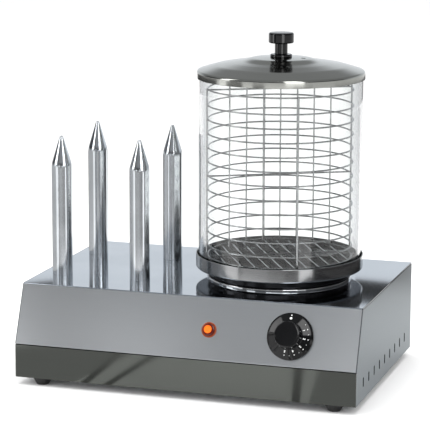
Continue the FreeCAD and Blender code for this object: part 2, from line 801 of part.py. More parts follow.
def divider_wires():
    """A flat grid on the basket's middle plane: upright wires tied by level ones."""
    free_half = number("divider_half") - 4 * number("grid_wire")
    steps = int(free_half // number("divider_pitch"))
    tall = "divider_top_z - divider_foot_z"
    wires = [cylinder("grid_wire", tall, "%d * divider_pitch" % step, "0", "divider_foot_z")
             for step in range(-steps, steps + 1)]
    top_half = "(%d * divider_pitch + grid_wire)" % steps
    wires.append(laid(cylinder("grid_wire", "2 * " + top_half, "-" + top_half, "0", "divider_top_z"), "x"))
    middle_hoop = "low_hoop_z + %d * hoop_pitch" % (sizes["hoop_count"] // 2)
    for z in ("divider_foot_z", middle_hoop, "top_hoop_z"):
        wires.append(laid(cylinder("grid_wire", "2 * divider_half", "-divider_half", "0", z), "x"))
    return wires


def floor_wires():
    """Parallel wires under the lowest hoop, cut to the circle, with one tie wire under them."""
    steps = int((number("hoop_radius") - number("floor_pitch") / 3) // number("floor_pitch"))
    tie_z = "floor_wire_z - 2 * grid_wire + weld_bite"
    wires = [laid(cylinder("grid_wire", "2 * hoop_radius", "-hoop_radius", "0", tie_z), "x")]
    for step in range(-steps, steps + 1):
        x = "%d * floor_pitch" % step
        half = "sqrt(hoop_radius^2 - (%s)^2)" % x
        wires.append(laid(cylinder("grid_wire", "2 * " + half, x, "-" + half, "floor_wire_z"), "y"))
    return wires


def make_lid():
    crown = [
        ("lid_outer - lid_shoulder_in", "lid_shoulder_up"),
        ("lid_bow_radius", "lid_bow_up"),
        ("lid_step_radius", "lid_step_up"),
        ("lid_crown_radius", "lid_crown_up"),
        ("lid_centre_radius", "lid_centre_up"),
        ("lid_screw_radius + fit_gap", "lid_centre_up"),
    ]
    outside = [(radius, "lid_z + lid_gauge + " + rise) for radius, rise in crown]
    inside = [(radius, "lid_z + " + rise) for radius, rise in reversed(crown)]
    skirt = [
        ("lid_inner", "lid_z"),
        ("lid_inner", "lid_z - lid_skirt"),
        ("lid_outer", "lid_z - lid_skirt"),
        ("lid_outer", "lid_z + lid_gauge"),
    ]
    vent = cylinder("lid_vent_radius", "6 * lid_gauge", "steam_x + lid_vent_offset", "steam_y",
                    "lid_z + lid_crown_up - 2 * lid_gauge")
    keep(cut(turned("lid_pressing", skirt + outside + inside), [vent]), "lid")


def make_lid_knob():
    keep(turned("lid_knob", [
        ("lid_screw_radius + thread_play", "0"),
        ("lid_collar_radius", "0"),
        ("lid_collar_radius", "lid_collar_height - lid_knob_edge / 2"),
        ("lid_collar_radius - lid_knob_edge / 2", "lid_collar_height"),
        ("lid_knob_stem", "lid_collar_height"),
        ("lid_knob_stem", "lid_knob_height - lid_knob_head"),
        ("lid_knob_radius - lid_knob_edge / 2", "lid_knob_height - lid_knob_head"),
        ("lid_knob_radius", "lid_knob_height - lid_knob_head + lid_knob_edge / 2"),
        ("lid_knob_radius", "lid_knob_height - lid_knob_edge"),
        ("lid_knob_radius - lid_knob_edge", "lid_knob_height"),
        ("0", "lid_knob_height"),
        ("0", "lid_screw_length"),
        ("lid_screw_radius + thread_play", "lid_screw_length"),
    ], z="lid_knob_z"), "lid_knob")
    under = "lid_knob_z - lid_gauge"
    washer_z = under + " - lid_washer_thick"
    hole = cylinder("lid_screw_radius + fit_gap", "lid_washer_thick", "steam_x", "steam_y", washer_z)
    washer = cylinder("lid_washer_radius", "lid_washer_thick", "steam_x", "steam_y", washer_z)
    keep(cut(washer, [hole]), "lid_knob_washer")
    head_z = washer_z + " - lid_screw_head_thick"
    shank = "lid_screw_length - lid_screw_radius + lid_gauge + lid_washer_thick"
    keep(fuse([cylinder("lid_screw_head", "lid_screw_head_thick", "steam_x", "steam_y", head_z),
               cylinder("lid_screw_radius", shank, "steam_x", "steam_y", washer_z)]), "lid_knob_screw")


# ---------------------------------------------------------------------------------------------
# Controls on the sloping front
# ---------------------------------------------------------------------------------------------
def make_thermostat():
    knob = turned("thermostat_knob", [
        ("dial_recess_radius", "dial_gap"),
        ("dial_radius", "dial_gap"),
        ("dial_radius", "dial_gap + dial_lip"),
        ("dial_shoulder_radius", "dial_gap + dial_lip + dial_step"),
        ("boss_radius", "dial_gap + dial_height"),
        ("boss_radius", "dial_front - boss_edge"),
        ("boss_radius - boss_edge", "dial_front"),
        ("0", "dial_front"),
        ("0", "shaft_reach + thread_play"),
        ("shaft_radius + thread_play", "shaft_reach + thread_play"),
        ("shaft_radius + thread_play", "dial_gap + dial_recess_depth"),
        ("dial_recess_radius", "dial_gap + dial_recess_depth"),
    ])
    keep(on_slope(knob, "dial_x", "dial_down"), "thermostat_knob")
    shaft = cylinder("shaft_radius", "shaft_reach + shaft_depth")
    keep(on_slope(shaft, "dial_x", "dial_down", "-shaft_depth"), "thermostat_shaft")
    back = "-sheet_gauge - thermostat_depth"
    half = "-thermostat_side / 2"
    block = fuse([box("thermostat_side", "thermostat_side", "thermostat_depth", half, half, back),
                  cylinder("thermostat_bush_radius", "sheet_gauge + thermostat_bush_rise", z="-sheet_gauge")])
    bore = cylinder("shaft_radius + shaft_play", "shaft_depth + 2 * thermostat_bush_rise",
                    z="-shaft_depth - shaft_play")
    keep(on_slope(cut(block, [bore]), "dial_x", "dial_down"), "thermostat_body")
    nut_thick = "thermostat_nut_thick"
    hole = cylinder("thermostat_bush_radius + thread_play", nut_thick)
    keep(on_slope(cut(hexagon("thermostat_nut_corner", nut_thick), [hole]), "dial_x", "dial_down"),
         "thermostat_nut")
    bulb = laid(cylinder("bulb_radius", "bulb_length", "steam_x - bulb_length / 2",
                         "steam_y + strap_width / 2 + 2 * bulb_radius", "plate_bottom - bulb_radius"), "x")
    keep(bulb, "sensor_bulb")


def make_lamp():
    lens = turned("lamp_lens", [
        ("0", "0"),
        ("lamp_radius", "0"),
        ("lamp_radius", "lamp_lip"),
        ("lamp_face_radius", "lamp_height"),
        ("0", "lamp_height"),
    ])
    keep(on_slope(lens, "lamp_x", "lamp_down"), "lamp_lens")
    body = cylinder("lamp_body_radius", "lamp_body_length")
    keep(on_slope(body, "lamp_x", "lamp_down", "-lamp_body_length"), "lamp_body")
    clip_z = "-sheet_gauge - lamp_clip_thick"
    hole = cylinder("lamp_body_radius + thread_play", "lamp_clip_thick", z=clip_z)
    clip = cut(cylinder("lamp_clip_radius", "lamp_clip_thick", z=clip_z), [hole])
    keep(on_slope(clip, "lamp_x", "lamp_down"), "lamp_clip")


# ---------------------------------------------------------------------------------------------
# Mains entry and inner wiring
# ---------------------------------------------------------------------------------------------
def make_mains_entry():
    gland = turned("cable_gland", [
        ("cord_bore_radius", "-gland_inner_length"),
        ("gland_thread_radius", "-gland_inner_length"),
        ("gland_thread_radius", "0"),
        ("gland_body_radius", "0"),
        ("gland_body_radius", "gland_reach / 2"),
        ("gland_nose_radius", "gland_reach"),
        ("cord_bore_radius", "gland_reach"),
    ], "gland_x", "rear_y", "gland_z")
    keep(laid(gland, "y"), "cable_gland")
    nut_y = "rear_y - sheet_gauge - gland_nut_thick"
    hole = laid(cylinder("gland_thread_radius + thread_play", "gland_nut_thick",
                         "gland_x", nut_y, "gland_z"), "y")
    nut = laid(hexagon("gland_nut_corner", "gland_nut_thick", "gland_x", nut_y, "gland_z"), "y")
    keep(cut(nut, [hole]), "gland_nut")
    block = box("terminal_length", "terminal_width", "terminal_height",
                "terminal_x - terminal_length / 2", "rear_y - terminal_inset - terminal_width / 2",
                "floor_z")
    wells = [cylinder("earth_radius", "terminal_height / 2", "terminal_x + %d * terminal_length / 3" % step,
                      "rear_y - terminal_inset", "floor_z + terminal_height / 2") for step in (-1, 0, 1)]
    keep(cut(block, wells), "terminal_block")
    stud = cylinder("earth_radius", "earth_height", "earth_x", "rear_y - earth_inset", "floor_z")
    nut = hexagon("2 * earth_radius", "earth_height / 4", "earth_x", "rear_y - earth_inset", "floor_z")
    keep(fuse([stud, nut]), "earth_stud")


def make_wiring():
    """Short leads between the terminal block, thermostat, element, lamp and earth stud."""
    sine, cosine = number("lean_sin"), number("lean_cos")
    block_y = number("rear_y") - number("terminal_inset") - number("terminal_width") / 2
    block_x, block_z = number("terminal_x"), number("floor_z") + number("terminal_height") / 4
    third = number("terminal_length") / 3
    run, step = number("lead_run"), number("lead_step")
    earth_x = number("earth_x")
    stud_face = block_y + number("terminal_width") / 2 - number("earth_radius")

    def behind(across, down, inward):
        """A point behind the sloping sheet."""
        y = number("fold_y") - down * sine + inward * cosine
        return (across, y, number("top_z") - down * cosine - inward * sine)

    dial = (number("dial_x"), number("dial_down"))
    dial_back = number("sheet_gauge") + number("thermostat_depth")
    lamp = (number("lamp_x"), number("lamp_down"))
    lamp_back = number("lamp_body_length")
    tail_x = number("steam_x") + number("element_tail") / 2
    tail_y = number("steam_y") - number("element_ring_radius")
    tail_z = number("plate_bottom") - number("element_tube_radius") - number("element_tail")
    lead("lead_live", [
        (block_x + third, block_y, block_z),
        (block_x + third, block_y - run, block_z),
        (block_x + third + step, block_y - 2 * run, block_z + step / 2),
        behind(dial[0] + step / 2, dial[1], dial_back + run),
        behind(dial[0] + step / 2, dial[1], dial_back),
    ])
    lead("lead_neutral", [
        (block_x, block_y, block_z),
        (block_x, block_y - run, block_z),
        (tail_x + step / 3, tail_y + run / 2, block_z + step),
        (tail_x, tail_y, tail_z - run),
        (tail_x, tail_y, tail_z),
    ])
    lead("lead_lamp", [
        behind(dial[0] - step, dial[1], dial_back),
        behind(dial[0] - step, dial[1], dial_back + run / 2),
        behind((dial[0] + lamp[0]) / 2, lamp[1] + step / 2, dial_back + run * 2 / 3),
        behind(lamp[0], lamp[1], lamp_back + run / 2),
        behind(lamp[0], lamp[1], lamp_back),
    ])
    lead("lead_earth", [
        (block_x - third, block_y, block_z),
        (block_x - third, block_y - run / 2, block_z),
        (block_x + step / 2, block_y - 1.5 * run, block_z + 1.5 * step),
        (earth_x, block_y - run, block_z + step),
        (earth_x, block_y - run / 3, block_z + step / 2),
        (earth_x, stud_face, block_z + step / 2),
    ])


make_top_cover()
make_front_lower_panel()
make_side_panel("side_panel_left", -1)
make_side_panel("side_panel_right", 1)
make_rear_panel()
make_base_plate()
make_feet()
make_panel_screws()
make_spikes()
make_hot_plate()
make_plate_clamp()
make_water_pan()
make_glass()
make_basket()
make_lid()
make_lid_knob()
make_thermostat()
make_lamp()
make_mains_entry()
make_wiring()

document.recompute()

# ---------------------------------------------------------------------------------------------
# Checks, then one file for each sub-part
# ---------------------------------------------------------------------------------------------
for thing in document.Objects:
    if "Invalid" in thing.State or "Error" in thing.State:
        raise RuntimeError("%s (%s) failed: %s" % (thing.Name, thing.Label, thing.getStatusString()))
for part in sub_parts:
    if part.Shape.isNull() or not part.Shape.isValid() or part.Shape.Volume <= 0:
        raise RuntimeError("%s has no valid shape" % part.Label)

os.makedirs("parts", exist_ok=True)
for part in sub_parts:
    part.Shape.exportStep("parts/%s.step" % part.Label)
whole = FreeCAD.BoundBox()
for part in sub_parts:
    whole.add(part.Shape.BoundBox)
print("%d sub-parts, %d solids" % (len(sub_parts), sum(len(part.Shape.Solids) for part in sub_parts)))
print("outline %.1f x %.1f x %.1f mm" % (whole.XLength, whole.YLength, whole.ZLength))
print("outline centre %.2f, %.2f, lowest %.2f" % (whole.Center.x, whole.Center.y, whole.ZMin))
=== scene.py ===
# %% [markdown]
# # A hot dog steamer with four heated bun spikes
# The machine is a low housing of folded stainless sheet. On the left stand four polished spikes that
# warm the buns. On the right a glass cylinder stands in a shallow water pan, with a wire basket inside
# it and a domed lid on top. The lesson dresses a finished engineering model: it keeps every size, and
# adds the rounded edges, the wires, the screws and the finishes that make metal look like metal.

# %% Load the frame
import json
import math
import bmesh
import bpy
from mathutils import Euler, Matrix, Vector


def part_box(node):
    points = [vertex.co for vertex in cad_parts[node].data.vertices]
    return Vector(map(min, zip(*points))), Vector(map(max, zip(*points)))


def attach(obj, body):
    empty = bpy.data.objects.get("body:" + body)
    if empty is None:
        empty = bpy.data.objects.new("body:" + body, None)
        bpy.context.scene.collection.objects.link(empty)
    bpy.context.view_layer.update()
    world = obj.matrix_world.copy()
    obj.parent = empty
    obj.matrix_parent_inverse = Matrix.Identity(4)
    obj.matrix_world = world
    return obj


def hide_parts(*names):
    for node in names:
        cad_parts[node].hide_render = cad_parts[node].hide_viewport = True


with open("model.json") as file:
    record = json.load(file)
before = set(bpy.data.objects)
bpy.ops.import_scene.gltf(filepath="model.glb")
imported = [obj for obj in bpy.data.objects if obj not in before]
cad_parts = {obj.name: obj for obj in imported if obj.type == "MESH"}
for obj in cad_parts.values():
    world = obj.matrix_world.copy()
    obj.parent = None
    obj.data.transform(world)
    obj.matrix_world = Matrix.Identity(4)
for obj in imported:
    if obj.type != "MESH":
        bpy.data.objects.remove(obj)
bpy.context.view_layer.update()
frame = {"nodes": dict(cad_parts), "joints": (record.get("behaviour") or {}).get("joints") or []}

nodes = frame["nodes"]

# %% [markdown]
# ## Where things are
# Every place comes from the frame: a node's box gives its middle and its heights. The sloping front is
# the one surface that leans, and the dial's joint already holds a point on it and the line square to
# it, so a piece for that front can be made flat on the ground and then stood up by one matrix.

# %% Places read from the frame
MM = 0.001


def middle(name):
    low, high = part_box(name)
    return (low + high) / 2


def across(name):
    low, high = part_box(name)
    return high - low


steam_axis = middle("glass_cylinder").xy
top_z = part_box("top_cover")[1].z
half_width = across("top_cover").x / 2
dial_joint = next(joint for joint in frame["joints"] if joint["name"] == "dial_turn")
dial_point = Vector(dial_joint["pos_m"])
outward = -Vector(dial_joint["axis"]).normalized()
up_slope = outward.cross(Vector((1, 0, 0)))


def on_slope(point):
    """The matrix that stands a piece on the sloping front: its +Z points out and its +Y up the slope."""
    turn = Matrix((Vector((1, 0, 0)), up_slope, outward)).transposed()
    return Matrix.Translation(point) @ turn.to_4x4()


lamp_point = middle("lamp_body")
lamp_point = lamp_point - outward * (lamp_point - dial_point).dot(outward)
print("steamer axis", steam_axis, "slope leans", round(math.degrees(math.asin(outward.z)), 2), "degrees")

# %% [markdown]
# ## Shader maths as plain Python
# A procedural finish is a sum of patterns. Written with node calls it is unreadable, so one small class
# wraps a socket and turns `1 - mask` or `noise * 0.2 + 0.3` into Math nodes. Every other node comes
# from one method, which takes the node's type, its settings and its inputs. The same class serves the
# geometry trees further down.


# %% Sockets that can be added and multiplied
class Signal:
    """One output of a node, for use in a sum or as another node's input."""

    def __init__(self, graph, socket):
        self.graph = graph
        self.socket = socket

    def __getitem__(self, name):
        return Signal(self.graph, self.socket.node.outputs[name])

    def math(self, operation, *values):
        return self.graph.node("ShaderNodeMath", {"operation": operation}, dict(enumerate(values)))

    def __add__(self, other):
        return self.math("ADD", self, other)

    def __sub__(self, other):
        return self.math("SUBTRACT", self, other)

    def __rsub__(self, other):
        return self.math("SUBTRACT", other, self)

    def __mul__(self, other):
        return self.math("MULTIPLY", self, other)

    def __truediv__(self, other):
        return self.math("DIVIDE", self, other)

    def __pow__(self, other):
        return self.math("POWER", self, other)

    __radd__ = __add__
    __rmul__ = __mul__

    def within(self, low, high):
        """0 below low, 1 above high, and smooth between."""
        inputs = {0: self, 1: low, 2: high}
        return self.graph.node("ShaderNodeMapRange", {"interpolation_type": "SMOOTHSTEP"}, inputs)


# %% Any other node from one method
class Graph:
    """Adds nodes to one tree."""

    def __init__(self, tree):
        self.tree = tree

    def node(self, kind, settings=None, inputs=None):
        made = self.tree.nodes.new(kind)
        for name, value in (settings or {}).items():
            setattr(made, name, value)
        for name, value in (inputs or {}).items():
            for item in value if isinstance(value, list) else [value]:
                if isinstance(item, Signal):
                    self.tree.links.new(item.socket, made.inputs[name])
                else:
                    made.inputs[name].default_value = item
        shown = [output for output in made.outputs if output.enabled]
        return Signal(self, shown[0]) if shown else made

    def blend(self, factor, first, second):
        """A mix of two colours."""
        return self.node("ShaderNodeMix", {"data_type": "RGBA"}, {0: factor, 6: first, 7: second})

    def vector(self, operation, *inputs):
        return self.node("ShaderNodeVectorMath", {"operation": operation}, dict(enumerate(inputs)))

    def point(self, **parts):
        """A place from its X, Y and Z; a part that isn't given is 0."""
        return self.node("ShaderNodeCombineXYZ", {}, parts)


print("sums on a socket:", [name for name in vars(Signal) if name.startswith("__r") or name == "within"])

# %% [markdown]
# ## Patterns shared by the finishes
# Real metal shows three scales at once: fine scratches along the grain, soft clouds from handling, and
# a broad change in tone. Noise stretched along one direction gives the scratches. On a spun part the
# grain runs round the axis, so there the noise reads the distance from the axis and the height. All
# patterns read Object coordinates, which are metres in the frame, so their scale is true everywhere.


# %% Patterns from the place on the piece
TURN_SCALE = 6.0


def noise(graph, coordinates, scale, detail=3.0, roughness=0.55):
    inputs = {"Vector": coordinates, "Scale": scale, "Detail": detail, "Roughness": roughness}
    return graph.node("ShaderNodeTexNoise", {}, inputs)


def object_point(graph, stretch=(1, 1, 1), centre=(0, 0, 0)):
    """The place on the piece, measured from a centre and stretched."""
    here = graph.node("ShaderNodeTexCoord")["Object"]
    moved = graph.vector("SUBTRACT", here, centre)
    return graph.vector("MULTIPLY", moved, stretch)


def coordinate(graph, letter):
    """How far along X, Y or Z the place on the piece is."""
    return graph.node("ShaderNodeSeparateXYZ", {}, {0: object_point(graph)})[letter]


def length(graph, vector):
    return graph.vector("LENGTH", vector)["Value"]


def spun_point(graph, axis, across_grain):
    """Coordinates for a spun part: distance from the axis and height, and a slow turn."""
    flat = object_point(graph, (1, 1, 0), (*axis, 0))
    slow = graph.vector("MULTIPLY", flat, (TURN_SCALE, TURN_SCALE, 0))
    fast = graph.point(X=length(graph, flat) * across_grain, Z=coordinate(graph, "Z") * across_grain)
    return graph.vector("ADD", slow, fast)


def scratched(graph, coordinates):
    """Fine scratches; the stretch of the coordinates gives them their direction."""
    return noise(graph, coordinates, 1.0, 4.0, 0.7)


# %% A new material
def new_material(name, **constants):
    """A material with one Principled shader; values that don't vary are set on its own sockets."""
    material = bpy.data.materials.new(name)
    material.use_nodes = True
    graph = Graph(material.node_tree)
    shader = material.node_tree.nodes["Principled BSDF"]
    for socket, value in constants.items():
        shader.inputs[socket.replace("_", " ")].default_value = value
    return material, graph, shader


def drive(graph, shader, **signals):
    """Links what varies over the surface."""
    for socket, signal in signals.items():
        graph.tree.links.new(signal.socket, shader.inputs[socket.replace("_", " ")])


def bump(graph, height, depth):
    return graph.node("ShaderNodeBump", {}, {"Height": height, "Distance": depth, "Strength": 1.0})


def two_tone(graph, pattern, dark, light):
    """A pattern as two tones of a colour."""
    return graph.blend(pattern.within(0.3, 0.7), (*dark, 1), (*light, 1))


# %% [markdown]
# ## Steel
# One recipe covers most steel parts, because a shop would buy them from the same sheet and bar: a
# tone, a roughness and the direction of the grain. The scratches move the colour a little, the
# roughness more and the surface hardly at all, which is how brushed steel behaves. The clouds are
# the faint smears that polished steel always carries.


# %% The steel recipe
ALONG_X = (12, 3200, 3200)
ALONG_Y = (3200, 12, 3200)


def shade(colour, factor):
    return tuple(min(1.0, part * factor) for part in colour) + (1.0,)


def steel(name, tone, rough, grain, contrast=0.08, depth=1.5e-6, spun=None):
    """grain is the stretch of the scratches along X, Y and Z; spun is the axis of a turned part."""
    material, graph, shader = new_material(name, Metallic=1.0)
    here = object_point(graph, grain) if spun is None else spun_point(graph, spun, grain)
    scratches = scratched(graph, here)
    clouds = noise(graph, object_point(graph), 14.0, 3.0)
    tint = scratches * 0.65 + clouds * 0.35
    colour = graph.blend(tint.within(0.25, 0.75), shade(tone, 1 - contrast), shade(tone, 1 + contrast))
    roughness = rough * (0.8 + scratches * 0.3 + clouds * 0.1)
    drive(graph, shader, Base_Color=colour, Roughness=roughness, Normal=bump(graph, scratches, depth))
    return material


rear_steel = steel("satin_rear_steel", (0.40, 0.43, 0.45), 0.30, ALONG_X)
# painted reflection: the lower front's near-black tone stands for the dark floor that the polished panel
# mirrors
kick_steel = steel("polished_lower_front", (0.088, 0.093, 0.086), 0.11, ALONG_X, 0.06, 1e-6)
base_steel = steel("dull_base_steel", (0.42, 0.43, 0.44), 0.42, ALONG_X)
lid_steel = steel("spun_lid_steel", (0.32, 0.325, 0.305), 0.13, 2200, 0.08, 1e-6, steam_axis)
trim_steel = steel("bright_trim", (0.72, 0.73, 0.74), 0.06, 2600, 0.05, 1e-6, steam_axis)
wire_steel = steel("drawn_wire", (0.32, 0.325, 0.33), 0.12, (300, 300, 300), 0.10)
fixing_steel = steel("zinc_plate", (0.58, 0.59, 0.60), 0.28, (700, 700, 700), 0.14)
heater_steel = steel("heat_tinted_sheath", (0.33, 0.29, 0.25), 0.34, (120, 120, 120), 0.30)
cast_metal = steel("machined_casting", (0.10, 0.10, 0.10), 0.30, 1800, 0.14, 1e-5, steam_axis)
print("steels:", [material.name for material in bpy.data.materials])

# %% [markdown]
# The side panels need one thing more. The walls of their slots lie in the shade of the sheet, and that shade
# is
# painted: the steel is near black from a tenth of a millimetre behind the outer face, so the slots read as
# openings.


# %% Side panels
def from_middle(graph):
    """How far the place is from the machine's middle plane, on either side."""
    return (coordinate(graph, "X") ** 2) ** 0.5


def side_finish():
    """Satin on the outer face; behind that face the slot walls carry a near-black painted shade."""
    material, graph, shader = new_material("satin_side_steel", Metallic=1.0)
    scratches = scratched(graph, object_point(graph, ALONG_Y))
    face = from_middle(graph).within(half_width - 0.20 * MM, half_width - 0.05 * MM)
    satin = two_tone(graph, scratches, (0.075, 0.10, 0.115), (0.085, 0.11, 0.125))
    # painted shade: near black on the slot walls behind the outer face
    drive(graph, shader, Base_Color=graph.blend(face, (0.003, 0.004, 0.005, 1), satin),
          Roughness=0.26 + scratches * 0.08, Normal=bump(graph, scratches, 1.5e-6))
    return material


side_steel = side_finish()
print("side panels:", side_steel.name)

# %% [markdown]
# ## The folded sheet
# The top and the sloping front are one sheet with two looks: the front was brushed, and the top was
# polished like a mirror. One material can hold both, because the fold is at a known height: above it
# the roughness drops. Two materials on one mesh would work too, but would leave a hard line on the bend.
# A narrow dark band at each end is painted shadow, standing for the shade in the seam between this sheet and
# a side panel.


# %% Brushed front and polished top in one material
def folded_steel():
    material, graph, shader = new_material("folded_cover_steel", Metallic=1.0)
    polished = coordinate(graph, "Z").within(top_z - 1.6 * MM, top_z - 0.3 * MM)
    scratches = scratched(graph, object_point(graph, ALONG_X))
    clouds = noise(graph, object_point(graph), 9.0, 2.0)
    brushed = two_tone(graph, scratches, (0.555, 0.575, 0.597), (0.57, 0.59, 0.612))
    mirror = two_tone(graph, clouds, (0.43, 0.47, 0.52), (0.48, 0.52, 0.57))
    satin = 0.30 + scratches * 0.04
    gloss = 0.035 + clouds * 0.05
    roughness = satin * (1 - polished) + gloss * polished
    relief = bump(graph, scratches * (1 - polished), 2e-7)
    # painted shadow: a dark band along each side edge, for the shade in the seam to a side panel
    seam_shadow = from_middle(graph).within(half_width - 1.1 * MM, half_width - 0.6 * MM)
    sheet = graph.blend(polished, brushed, mirror)
    drive(graph, shader, Base_Color=graph.blend(seam_shadow, sheet, (0.07, 0.08, 0.09, 1)), Roughness=roughness,
          Normal=relief)
    return material


cover_steel = folded_steel()
print("cover:", cover_steel.name)

# %% [markdown]
# ## Turned bar and the pan's painted shade
# The spikes are turned bar, so their grain is a ring round each one, far too fine to see except in the
# way it softens a highlight. The pan is bright only on its rim: below the ledge and inside, its steel is
# painted near black as shade, for the shadow under the rim and inside the pan. Height and distance from the
# axis tell the two apart.


# %% Spike steel and pan steel
def spike_finish():
    material, graph, shader = new_material("turned_bar", Metallic=1.0)
    rings = noise(graph, object_point(graph, (40, 40, 3000)), 1.0, 3.0)
    clouds = noise(graph, object_point(graph), 25.0, 2.0)
    colour = two_tone(graph, clouds, (0.62, 0.65, 0.68), (0.70, 0.73, 0.76))
    roughness = 0.12 + rings * 0.08 + clouds * 0.04
    drive(graph, shader, Base_Color=colour, Roughness=roughness, Normal=bump(graph, rings, 1.5e-6))
    return material


def pan_finish():
    """Bright on the outside of the rim; below the ledge and inside, a near-black painted shade."""
    material, graph, shader = new_material("spun_pan_steel", Metallic=1.0)
    rings = scratched(graph, spun_point(graph, steam_axis, 2600))
    radius = length(graph, object_point(graph, (1, 1, 0), (*steam_axis, 0)))
    ledge_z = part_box("water_pan")[0].z + 9.2 * MM
    rim_inside = across("water_pan").x / 2 - 0.9 * MM
    above = coordinate(graph, "Z").within(ledge_z, ledge_z + 1.2 * MM)
    bright = above * radius.within(rim_inside - 2 * MM, rim_inside)
    rim_steel = two_tone(graph, rings, (0.30, 0.305, 0.31), (0.36, 0.365, 0.37))
    # painted shade: near black below the ledge and inside the pan, for the shadow under the rim
    painted_shade = two_tone(graph, rings, (0.035, 0.035, 0.037), (0.060, 0.060, 0.063))
    drive(graph, shader, Base_Color=graph.blend(bright, painted_shade, rim_steel), Roughness=0.12 + rings * 0.06,
          Normal=bump(graph, rings, 1e-6))
    return material


spike_steel = spike_finish()
pan_steel = pan_finish()
print("turned and spun:", spike_steel.name, pan_steel.name)

# %% [markdown]
# ## Plastics, rubber, glass and the lamp
# The knobs are glossy moulded plastic with a faint orange-peel surface, and the feet are dull rubber.
# The glass is real glass to everything but the lamps: a shadow ray passes straight through, which
# keeps the floor behind it bright without waiting for light to find its way through two walls. The
# lamp's lens glows in the middle, and its colour follows the distance from its own axis.


# %% Plastics, rubber, copper and print
def plain_finish(name, dark, light, rough, scale, depth, **constants):
    """A moulded or cast finish: two close tones, an even roughness and a fine surface texture."""
    material, graph, shader = new_material(name, **constants)
    texture = noise(graph, object_point(graph), scale, 3.0)
    clouds = noise(graph, object_point(graph), 30.0, 2.0)
    colour = two_tone(graph, clouds, dark, light)
    roughness = rough * (0.75 + texture * 0.3 + clouds * 0.2)
    drive(graph, shader, Base_Color=colour, Roughness=roughness, Normal=bump(graph, texture, depth))
    return material


black_plastic = plain_finish("glossy_black_plastic", (0.0015, 0.0015, 0.002), (0.003, 0.003, 0.0035),
                             0.08, 220, 1e-6, Specular_IOR_Level=0.32)
foot_rubber = plain_finish("foot_rubber", (0.004, 0.004, 0.004), (0.009, 0.009, 0.009), 0.55, 900, 3e-5)
gland_plastic = plain_finish("gland_plastic", (0.012, 0.012, 0.013), (0.022, 0.022, 0.024), 0.42, 1400, 2e-5)
ceramic = plain_finish("control_moulding", (0.62, 0.60, 0.54), (0.74, 0.71, 0.66), 0.45, 500, 2e-5)
sleeve = plain_finish("woven_sleeve", (0.30, 0.10, 0.06), (0.42, 0.17, 0.11), 0.70, 1500, 8e-5)
copper = plain_finish("bulb_copper", (0.55, 0.30, 0.19), (0.72, 0.42, 0.28), 0.26, 400, 4e-6, Metallic=1.0)
white_print = plain_finish("white_print", (0.80, 0.81, 0.80), (0.90, 0.91, 0.90), 0.40, 800, 4e-6)
print("plain finishes:", black_plastic.name, foot_rubber.name, gland_plastic.name, copper.name)


# %% Glass
def clear_glass():
    """Clear where it is seen square on, greyer at a slant, where a ray goes through more of it."""
    material, graph, shader = new_material("clear_glass", Transmission_Weight=1.0, IOR=1.46,
                                           Specular_IOR_Level=0.3)
    haze = noise(graph, object_point(graph, (1, 1, 0.4)), 30.0, 3.0)
    clear = two_tone(graph, haze, (0.950, 0.965, 0.96), (0.965, 0.975, 0.97))
    slant = graph.node("ShaderNodeLayerWeight", {}, {"Blend": 0.5})["Facing"]
    colour = graph.blend(slant.within(0.30, 0.75), clear, (0.66, 0.67, 0.69, 1))
    drive(graph, shader, Base_Color=colour, Roughness=haze * 0.004)
    lamp_ray = graph.node("ShaderNodeLightPath")["Is Shadow Ray"]
    passing = graph.node("ShaderNodeBsdfTransparent", {}, {"Color": (0.94, 0.95, 0.95, 1)})
    surface = Signal(graph, shader.outputs["BSDF"])
    mixed = graph.node("ShaderNodeMixShader", {}, {0: lamp_ray, 1: surface, 2: passing})
    output = graph.tree.nodes["Material Output"]
    graph.tree.links.new(mixed.socket, output.inputs["Surface"])
    return material


glass = clear_glass()
print("glass:", glass.name)


# %% The lit amber lens
def amber_lens():
    """Orange where the lamp shines through the face, then a dark red ring, then a dull red lip."""
    material, graph, shader = new_material("lit_amber_lens", Emission_Strength=0.6, Specular_IOR_Level=0.3)
    from_axis = graph.vector("SUBTRACT", object_point(graph), tuple(lamp_point))
    along = graph.vector("DOT_PRODUCT", from_axis, tuple(outward))["Value"]
    radius = (length(graph, from_axis) ** 2 - along ** 2) ** 0.5
    ring = radius.within(3.9 * MM, 5.4 * MM)
    lip = radius.within(7.0 * MM, 8.2 * MM)
    specks = noise(graph, object_point(graph), 500.0, 2.0)
    glow = two_tone(graph, specks, (0.90, 0.12, 0.008), (1.0, 0.20, 0.02))
    face = graph.blend(ring, (0.80, 0.12, 0.01, 1), (0.05, 0.003, 0.002, 1))
    halo = graph.blend(ring, glow, (0.05, 0.0015, 0.0005, 1))
    drive(graph, shader,
          Base_Color=graph.blend(lip, face, (0.26, 0.06, 0.025, 1)),
          Emission_Color=graph.blend(lip, halo, (0.012, 0.001, 0.0005, 1)),
          Roughness=0.06 + specks * 0.06)
    return material


amber = amber_lens()
print(len(bpy.data.materials), "finishes")

# %% [markdown]
# ## Turned parts
# Most of the machine is round: the pan, the glass, the lid, both knobs, the spikes, the feet. Each is a
# half outline turned about an upright line. A primitive cylinder would give razor edges that catch no
# light, so every corner of an outline carries its own radius and becomes a short arc before it is
# turned. The result is one closed skin, poles included.

# %% Rounded outlines
ARC_STEPS = 6


def corner_arc(before, corner, after, radius):
    """The points that round off one corner; the radius shrinks where the sides are too short."""
    back, ahead = before - corner, after - corner
    half = back.angle(ahead) / 2
    reach = min(radius / math.tan(half), 0.49 * back.length, 0.49 * ahead.length)
    radius = reach * math.tan(half)
    centre = corner + (back.normalized() + ahead.normalized()).normalized() * (radius / math.sin(half))
    first = (corner + back.normalized() * reach - centre).normalized()
    last = (corner + ahead.normalized() * reach - centre).normalized()
    return [centre + first.slerp(last, step / ARC_STEPS) * radius for step in range(ARC_STEPS + 1)]


